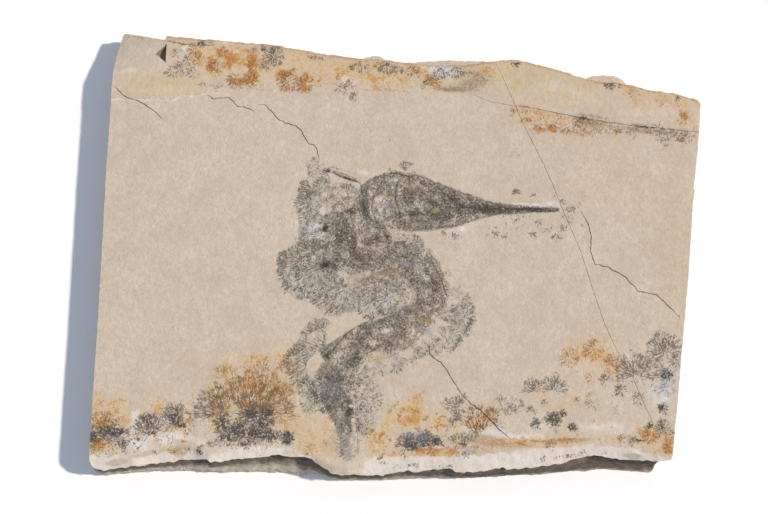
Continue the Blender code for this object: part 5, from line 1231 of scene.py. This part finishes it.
def top_values(flat, strength):
    """The strength of each stain, and of the painted shade in the notch and on the bevel's facets, at the
    points of the slab's top.
    """
    x, y = flat.T
    values = {"manganese": strength[:, 0], "iron": strength[:, 1], **stains_at(flat)}
    crack = np.max([closeness(flat, line, CRACK_HALF) for line in cracks], 0)
    crack = np.maximum(crack, 0.8 * closeness(flat, joint, JOINT_HALF))
    for line, half, share in seams:
        crack = np.maximum(crack, share * closeness(flat, line, half))
    lip = ramp(1.0 - abs(y - line_at(flake_foot, x)) / 0.9) * ramp((-82.0 - x) / 12.0)
    values["pale"] = np.maximum(values["pale"], 0.55 * lip * ramp(0.8 + field(flat, 6.0, 44.0)))
    drop = line_at(BEVEL_TOP, x) - y + 1.3 * field(flat, 4.0, 33.0, 3)
    nose = ramp(1.0 - abs(x + 27.0) / 15.0)
    from_back = distance_to(flat, BACK_RIM) + 0.8 * field(flat, 9.0, 52.0)
    east = ramp((x + 119.0) / 4.0)
    values["tan"] = np.maximum(values["tan"], 1.1 * east * ramp(1.2 - from_back / 8.0))
    values["brown"] = np.maximum(values["brown"], 0.8 * ramp(1.0 - from_back / 1.7) * (0.55 + 0.45 * east))
    # under on the top is a painted shadow inside the notch, cast by the low corner's wall; side_value adds
    # the painted shade under the front rim.
    return {**values, "crack": crack, "fresh": ramp((drop + 0.6) / 2.6) * (1.0 - 0.75 * ramp(nose * 3.0)),
            "side": np.zeros(len(flat)), "under": 0.5 * ramp(1.0 - distance_out(flat, NOTCH) / 0.4)}


def side_value(key, at_rim, x, facing, depth):
    """The strength of a stain on the side at a share of its height, and of the side's grey and the painted
    shade under the front rim.
    """
    # The side's grey, partly the colour of broken stone and partly painted shade: much stronger where the
    # side faces the front, away from the light.
    if key == "side":
        return ramp(depth / 0.04) * (0.2 + 0.8 * facing)
    # Painted shade of the undercut under the front rim, darkest near the top of the front side.
    if key == "under":
        return ramp(depth / 0.03) * facing * ramp((np.interp(x, LIT_OVER, LIT_FROM) - depth) / 0.42)
    if key in ("manganese", "iron", "crack", "bone", "ink"):
        return at_rim * 0.0
    return at_rim * max(1.0 - depth * 4.0, 0.0)


def build_slab():
    """The slab's body: its top sheet, the rings of its sides and its underside."""
    rim = np.vstack([roughen(BACK_RIM, 1.1, 0.55, 3.0, 1.0), roughen(RIGHT_EDGE, 1.1, 0.22, 3.0, 2.0),
                     roughen(FRONT_RIM, 1.0, 0.6, 2.6, 3.0), roughen(LEFT_EDGE, 1.1, 0.22, 3.0, 4.0)])
    holes = [offset_outline(loop, out) for loop in fossil_rims for out in (0.1, 0.05)]
    holes += [np.array(NOTCH), offset_outline(NOTCH, -0.5)]
    lines = slab_lines(offset_outline(rim, -0.7))
    flat, faces, strength = sheet(rim, holes, lines, detailed, SHEET_STEP, SHEET_SPACING, holes[0:6:2])
    values = top_values(flat, strength)
    layers = [np.column_stack([flat, slab_height(flat)])]
    loop = boundary(faces)
    place, top = flat[loop], layers[0][loop, 2]
    along = np.roll(place, -3, 0) - np.roll(place, 3, 0)
    out = np.stack([along[:, 1], -along[:, 0]], 1) / np.hypot(*along.T)[:, None]
    facing = ramp(-out[:, 1] * 1.6)
    faces = [tuple(face) for face in faces]
    at_rim = {key: value[loop] for key, value in values.items()}
    above, total = loop, len(flat)
    for depth in SIDE_DEPTHS:
        side = place + out * side_reach(place, out, depth)[:, None]
        side[:, 0] -= corner_inset(side, depth)
        layers.append(np.column_stack([side, top * (1.0 - depth)]))
        ring = list(range(total, total + len(loop)))
        faces += wall(above, ring)
        above, total = ring, total + len(loop)
        for key in values:
            near = side_value(key, at_rim[key], place[:, 0], facing, depth)
            values[key] = np.concatenate([values[key], near])
    points = np.vstack(layers)
    return make_body("stone_slab", points, faces + under_side(above, points), values)


slab = build_slab()


def linear(colour):
    """A hex sRGB colour as the linear numbers a shader takes."""
    parts = [int(colour[i:i + 2], 16) / 255 for i in (0, 2, 4)]
    return (*[p / 12.92 if p < 0.04045 else ((p + 0.055) / 1.055) ** 2.4 for p in parts], 1.0)


def add_node(tree, kind, inputs, **settings):
    """One shader node; each input takes a number, a colour or the output that feeds it."""
    made = tree.nodes.new("ShaderNode" + kind)
    for name, value in settings.items():
        setattr(made, name, value)
    for key, value in inputs.items():
        if isinstance(value, bpy.types.NodeSocket):
            tree.links.new(value, made.inputs[key])
        else:
            made.inputs[key].default_value = value
    return made.outputs


# The stone's clouding at several sizes: its size in millimetres, octaves and roughness.
CLOUDS = {
    "bed": (46.0, 3.0, 0.55), "cloud": (11.0, 4.0, 0.55), "mottle": (3.4, 6.0, 0.72),
    "patch": (2.1, 4.0, 0.55), "speck": (1.1, 4.0, 0.55), "fleck": (0.85, 3.0, 0.55),
    "grain": (0.65, 3.0, 0.55),
}
# The bare stone: its buff, and the tones that its clouding mixes in with their shares.
STONE_BUFF = "d4c5b1"
STONE_TONES = [("bed", "c9b6a2", 0.8), ("cloud", "e2d4c2", 0.75), ("patch", "bba994", 0.6),
               ("grain", "a69481", 0.45)]
# The bone and its film from dark to pale.
BONE_TONES = [(0.26, "3c352e"), (0.36, "5a5148"), (0.48, "7d7266"), (0.6, "a19687"), (0.74, "cabfb0")]
# Each layer: stain, how much noise breaks it, where it starts and is full, how opaque, the noise
# that breaks it, its two colours and the noise between them.
STONE_LAYERS = [
    # The side's grey-buff: partly broken stone, partly painted shade on the front side, which faces away from
    # the light.
    ("side", 0.5, 0.1, 0.9, 0.85, "mottle", "b0a493", "c2b6a6", "patch"),
    # Painted shade: dark brown of the undercut under the front rim and of the shadow inside the notch.
    ("under", 0.4, 0.1, 0.85, 0.9, "cloud", "4a3e32", "62564a", "patch"),
    ("tan", 0.8, 0.05, 1.1, 0.72, "mottle", "ccb593", "bfa581", "patch"),
    ("pale", 0.8, 0.1, 0.7, 0.85, "mottle", "e3ddd5", "d6cec3", "patch"),
    ("fresh", 0.6, 0.25, 0.75, 0.85, "mottle", "e6ddd3", "d6c9bc", "cloud"),
    # Painted shade on break facets of the bevel that face away from the light.
    ("scar", 0.4, 0.25, 0.8, 0.85, "patch", "c3b5a3", "b8a995", "patch"),
    ("ochre", 1.0, 0.1, 0.6, 0.7, "mottle", "dcc5a0", "bd9866", "speck"),
    ("ochre", 1.0, 0.45, 0.9, 0.75, "mottle", "d3a55f", "ac7d48", "speck"),
    ("ochre", 1.0, 0.95, 1.4, 0.75, "mottle", "9c6535", "c09152", "speck"),
    ("rust", 1.0, 0.3, 0.8, 0.8, "mottle", "c98f54", "9c6234", "speck"),
    ("rust", 1.0, 0.9, 1.3, 0.7, "speck", "7f4728", "b0733f", "patch"),
    ("ring", 1.0, 0.2, 0.8, 0.7, "speck", "8a5c38", "b07f48", "patch"),
    ("film", 0.8, 0.22, 0.62, 0.8, "fleck", "7d7266", "958979", "grain"),
    ("halo", 0.8, 0.2, 1.2, 0.55, "mottle", "cbc4b7", "aaa294", "patch"),
    ("soot", 0.9, 0.2, 1.0, 0.75, "mottle", "6c6862", "8d867b", "fleck"),
    ("blue", 0.55, 0.15, 1.0, 0.5, "patch", "b7bcc4", "a5adb8", "cloud"),
    ("rusty_twig", 0.5, 0.15, 0.55, 0.82, "patch", "a2703a", "79593a", "patch"),
    ("iron", 0.4, 0.4, 0.75, 0.8, "grain", "94602f", "86532c", "cloud"),
    ("black_twig", 0.6, 0.15, 0.55, 0.78, "patch", "423d36", "6a6256", "speck"),
    ("core", 1.0, 0.5, 0.95, 0.88, "speck", "2d2a2c", "504b48", "patch"),
    ("core", 1.0, 1.4, 1.75, 0.55, "fleck", "b3afa6", "8c96a0", "patch"),
    ("manganese", 0.5, 0.45, 0.95, 0.8, "speck", "37332e", "675f55", "patch"),
    ("bone", 0.85, 0.2, 0.55, 0.97, "mottle", "ramp", "", ""),
    ("ink", 1.0, 0.3, 0.85, 0.8, "mottle", "352e27", "4c4238", "grain"),
    ("olive", 0.5, 0.1, 0.9, 0.6, "speck", "a89c6c", "8f8560", "grain"),
    ("brown", 0.5, 0.1, 0.9, 0.6, "speck", "a5805c", "96705a", "grain"),
    ("violet", 0.5, 0.1, 0.9, 0.5, "speck", "85808c", "a29ca6", "grain"),
    # Dark brown of cracks and seams; along the feet of the strip and the flake partly painted shade of the
    # step face.
    ("crack", 0.6, 0.25, 0.8, 0.75, "patch", "5c4d3d", "7c6a54", "cloud"),
]


def twigs(tree, name, grain):
    """Fine twigs forking outwards from a frond's root, twice as many at each doubling of the run."""
    offset = add_node(tree, "Attribute", {}, attribute_name=name + "_frond")["Vector"]
    shake = add_node(tree, "TexNoise", {"Vector": offset, "Scale": 0.9, "Detail": 2.0})[1]
    shake = add_node(tree, "VectorMath", {0: shake, 1: (0.5, 0.5, 0.5)}, operation="SUBTRACT")[0]
    offset = add_node(tree, "VectorMath", {0: shake, 1: (1.1, 1.1, 0.0), 2: offset},
                      operation="MULTIPLY_ADD")[0]
    run = add_node(tree, "VectorMath", {0: offset}, operation="LENGTH")["Value"]
    way = add_node(tree, "VectorMath", {0: offset}, operation="NORMALIZE")[0]
    level = add_node(tree, "Math", {0: run, 1: 2.0}, operation="LOGARITHM")[0]
    level = add_node(tree, "Math", {0: level, 1: 0.0}, operation="MAXIMUM")[0]
    whole = add_node(tree, "Math", {0: level}, operation="FLOOR")[0]
    part = add_node(tree, "Math", {0: level, 1: whole}, operation="SUBTRACT")[0]
    further = add_node(tree, "CombineXYZ", {"Z": run})[0]
    streaks = []
    for doubling in (-0.2, 0.8):
        count = add_node(tree, "Math", {0: whole, 1: doubling}, operation="ADD")[0]
        count = add_node(tree, "Math", {0: 2.0, 1: count}, operation="POWER")[0]
        spread = add_node(tree, "VectorMath", {0: way, "Scale": count}, operation="SCALE")[0]
        spot = add_node(tree, "VectorMath", {0: further, 1: (0.22, 0.22, 0.22), 2: spread},
                        operation="MULTIPLY_ADD")[0]
        streaks.append(add_node(tree, "TexNoise", {"Vector": spot, "Scale": 1.0, "Detail": 2.0})[0])
    value = add_node(tree, "Mix", {0: part, 2: streaks[0], 3: streaks[1]}, data_type="FLOAT")[0]
    value = add_node(tree, "Math", {0: grain, 1: 0.12, 2: value}, operation="MULTIPLY_ADD")[0]
    gap = add_node(tree, "Math", {0: value, 1: 0.56}, operation="SUBTRACT")[0]
    gap = add_node(tree, "Math", {0: gap}, operation="ABSOLUTE")[0]
    line = add_node(tree, "MapRange", {0: gap, 1: 0.0, 2: 0.095, 3: 1.0, 4: 0.0})[0]
    cover = add_node(tree, "Attribute", {}, attribute_name=name)["Fac"]
    return add_node(tree, "Math", {0: line, 1: cover}, operation="MULTIPLY")[0]


def bone_colour(tree, noises):
    """The brown of the fish, streaked along its body and darker or paler in its zones."""
    streak = add_node(tree, "Attribute", {}, attribute_name="streak")["Vector"]
    streak = add_node(tree, "TexNoise", {"Vector": streak, "Scale": 1.0, "Detail": 4.0})[0]
    tone = add_node(tree, "Attribute", {}, attribute_name="tone")["Fac"]
    shade = add_node(tree, "Mix", {0: 0.35, 2: noises["mottle"], 3: streak}, data_type="FLOAT")[0]
    shade = add_node(tree, "Mix", {0: 0.36, 2: shade, 3: noises["fleck"]}, data_type="FLOAT")[0]
    shade = add_node(tree, "Math", {0: tone, 1: -0.24, 2: shade}, operation="MULTIPLY_ADD")[0]
    made = add_node(tree, "ValToRGB", {0: shade})[0]
    stops = made.node.color_ramp.elements
    for index, (spot, colour) in enumerate(BONE_TONES):
        stop = stops[index] if index < 2 else stops.new(spot)
        stop.position, stop.color = spot, linear(colour)
    return made


def limestone(name):
    """Lithographic limestone, split along its bedding: matt, warm grey-buff, finely grained."""
    material = bpy.data.materials.new(name)
    material.use_nodes = True
    tree = material.node_tree
    shader = tree.nodes["Principled BSDF"]
    place = add_node(tree, "TexCoord", {})["Object"]
    place = add_node(tree, "VectorMath", {0: place, "Scale": 1.0 / MM}, operation="SCALE")[0]
    noises = {}
    for key, (size, detail, rough) in CLOUDS.items():
        spot = add_node(tree, "TexNoise", {"Vector": place, "W": 1.0 + size, "Scale": 1.0 / size,
                                           "Detail": detail, "Roughness": rough}, noise_dimensions="4D")[0]
        noises[key] = add_node(tree, "MapRange", {0: spot, 1: 0.3, 2: 0.7})[0]
    colour = linear(STONE_BUFF)
    for key, tone, share in STONE_TONES:
        amount = add_node(tree, "Math", {0: noises[key], 1: share}, operation="MULTIPLY")[0]
        colour = add_node(tree, "Mix", {0: amount, 6: colour, 7: linear(tone)}, data_type="RGBA")[2]
    bone = bone_colour(tree, noises)
    for stain_name, broken, start, full, opaque, breaker, first, second, between in STONE_LAYERS:
        if stain_name.endswith("_twig"):
            value = twigs(tree, stain_name[:-5], noises["grain"])
        else:
            value = add_node(tree, "Attribute", {}, attribute_name=stain_name)["Fac"]
        break_up = add_node(tree, "MapRange", {0: noises[breaker], 3: 1.0 - broken, 4: 1.0 + broken})[0]
        value = add_node(tree, "Math", {0: value, 1: break_up}, operation="MULTIPLY")[0]
        mask = add_node(tree, "MapRange", {0: value, 1: start, 2: full, 4: opaque},
                        interpolation_type="SMOOTHSTEP")[0]
        own = bone
        if stain_name != "bone":
            own = add_node(tree, "Mix", {0: noises[between], 6: linear(first), 7: linear(second)},
                           data_type="RGBA")[2]
        colour = add_node(tree, "Mix", {0: mask, 6: colour, 7: own}, data_type="RGBA")[2]
    tree.links.new(colour, shader.inputs["Base Color"])
    relief = add_node(tree, "Bump", {"Strength": 0.5, "Distance": 0.0003, "Height": noises["patch"]})[0]
    relief = add_node(tree, "Bump", {"Strength": 0.45, "Distance": 0.00014, "Height": noises["grain"],
                                     "Normal": relief})[0]
    tree.links.new(relief, shader.inputs["Normal"])
    shader.inputs["Roughness"].default_value = 0.9
    shader.inputs["IOR"].default_value = 1.5
    shader.inputs["Specular IOR Level"].default_value = 0.3
    return material


slab.data.materials.append(limestone("split_limestone"))
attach(slab, "root")
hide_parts("limestone_slab")


# ---------------------------------------------------------------------------------------------
# The fish. Skull, trunk and one loose spine, flattened to brown phosphate in low relief. Each is
# one piece that lies in its own seat in the stone, flush with it at its ragged rim.
JAW_GROOVE = [(2.6, 17.6), (12, 17.8), (22, 18.9), (32, 21), (42, 23), (54, 24.7)]
CHEEK_GROOVE = [(2.2, 41.2), (0.4, 36), (0.3, 30), (2, 24.4), (2.4, 20.2)]
GILL_GROOVE = [(-7, 37.6), (-11.4, 31), (-11.8, 24), (-9, 17), (-5.4, 12.6)]
GROOVE_HALF, GROOVE_DEPTH = 0.7, 0.45
EYE_CENTRE, EYE_HALF, EYE_DEPTH = np.array([13.6, 26.0]), np.array([6.4, 4.4]), 0.7
FOLD_HEIGHT, FOLD_LENGTH = 0.2, 9.0
PIECE_FLOOR = THICKNESS - 1.0
BONE_SPACING = 0.52


def build_fossil(name, rim, relief, run, shape):
    """A flat-bottomed piece whose top swells from its rim."""
    flat, faces, strength = sheet(rim, [], [], lambda p: np.ones(len(p), bool), BONE_SPACING, BONE_SPACING)
    deep = np.maximum(-distance_out(flat, rim), 0.0)
    swell = np.sin(ramp(deep / run) * math.pi / 2)
    rise = relief * swell + swell * (0.3 * field(flat, 4.6, 5.0, 3) + shape(flat))
    loop = boundary(faces)
    low = list(range(len(flat), len(flat) + len(loop)))
    points = np.vstack([np.column_stack([flat, bedding_height(flat) + rise]),
                        np.column_stack([flat[loop], np.full(len(loop), PIECE_FLOOR)])])
    faces = [tuple(face) for face in faces] + wall(loop, low) + under_side(low, points)
    values = {"manganese": strength[:, 0], "iron": strength[:, 1], **stains_at(flat)}
    values = {key: np.concatenate([value, value[loop]]) for key, value in values.items()}
    return make_body(name, points, faces, values)


def skull_shape(points):
    """The grooves of jaw, cheek and gill, and the sunken eye."""
    rise = np.zeros(len(points))
    for groove in (JAW_GROOVE, CHEEK_GROOVE, GILL_GROOVE):
        rise -= GROOVE_DEPTH * ramp(1.0 - distance_to(points, groove) / GROOVE_HALF)
    from_eye = np.hypot(*((points - EYE_CENTRE) / EYE_HALF).T)
    return rise - EYE_DEPTH * ramp((1.0 - from_eye) / 0.3)


def trunk_shape(points):
    """Low slanting folds across the trunk."""
    return FOLD_HEIGHT * np.sin(2.0 * math.pi * (points[:, 0] * 0.5 + points[:, 1]) / FOLD_LENGTH)


def spine_shape(points):
    """The smooth spine."""
    return np.zeros(len(points))


# Each piece: its name, the node it stands in for, rim, relief, how far in it swells, and shape.
fossils = [
    ("fossil_skull", "fish_skull", skull_rim, 1.3, 7.0, skull_shape),
    ("fossil_trunk", "fish_trunk", trunk_rim, 1.0, 5.0, trunk_shape),
    ("fossil_spine", "fin_spine", spine_rim, 0.6, 1.0, spine_shape),
]
for name, node, rim, relief, run, shape in fossils:
    piece = build_fossil(name, rim, relief, run, shape)
    piece.data.materials.append(limestone(name + "_phosphate"))
    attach(piece, "root")
    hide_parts(node)


# ---------------------------------------------------------------------------------------------
# The studio. A white board under the slab, a low sun from the right and a pale blue sky round it.
# The camera stands in front and looks steeply down through a long lens.
SUN_WAY = Vector((-1.0, -0.02, -1.0))
TARGET = Vector((-8.892, -5.888, 18.0)) * MM
TILT = math.radians(76.0)
DISTANCE = 906.67


def in_scene(name, data):
    """A new object linked to the scene."""
    made = bpy.data.objects.new(name, data)
    bpy.context.scene.collection.objects.link(made)
    return made


# Matt white board: a bright, even ground that takes a soft shadow.
paper = bpy.data.materials.new("white_board")
paper.use_nodes = True
paper_tree = paper.node_tree
paper_shader = paper_tree.nodes["Principled BSDF"]
fibre = add_node(paper_tree, "TexNoise", {"Scale": 300.0, "Detail": 4.0})[0]
paper_colour = add_node(paper_tree, "Mix", {0: fibre, 6: linear("f7f7f7"), 7: linear("fafafa")},
                        data_type="RGBA")[2]
paper_tree.links.new(paper_colour, paper_shader.inputs["Base Color"])
paper_shader.inputs["Roughness"].default_value = 0.95
floor_mesh = bpy.data.meshes.new("floor")
floor_mesh.from_pydata([(-3, -3, 0), (3, -3, 0), (3, 3, 0), (-3, 3, 0)], [], [(0, 1, 2, 3)])
floor_mesh.materials.append(paper)
floor = in_scene("floor", floor_mesh)

world = bpy.data.worlds.new("sky")
world.use_nodes = True
sky = world.node_tree.nodes["Background"]
sky.inputs["Color"].default_value = linear("cfdcf2")
sky.inputs["Strength"].default_value = 0.55
bpy.context.scene.world = world
sun_data = bpy.data.lights.new("sun", "SUN")
sun_data.energy = 3.3
sun_data.angle = math.radians(3.0)
sun_data.color = linear("fff6ea")[:3]
in_scene("sun", sun_data).rotation_euler = SUN_WAY.to_track_quat("-Z", "Y").to_euler()

camera_data = bpy.data.cameras.new("camera")
camera_data.lens = 85.0
camera_data.sensor_width = 36.0
camera = in_scene("camera", camera_data)
camera.location = TARGET + Vector((0.0, -math.cos(TILT), math.sin(TILT))) * DISTANCE * MM
camera.rotation_euler = (math.radians(90.0) - TILT, 0.0, 0.0)
bpy.context.scene.camera = camera
bpy.context.scene.view_settings.view_transform = "Standard"
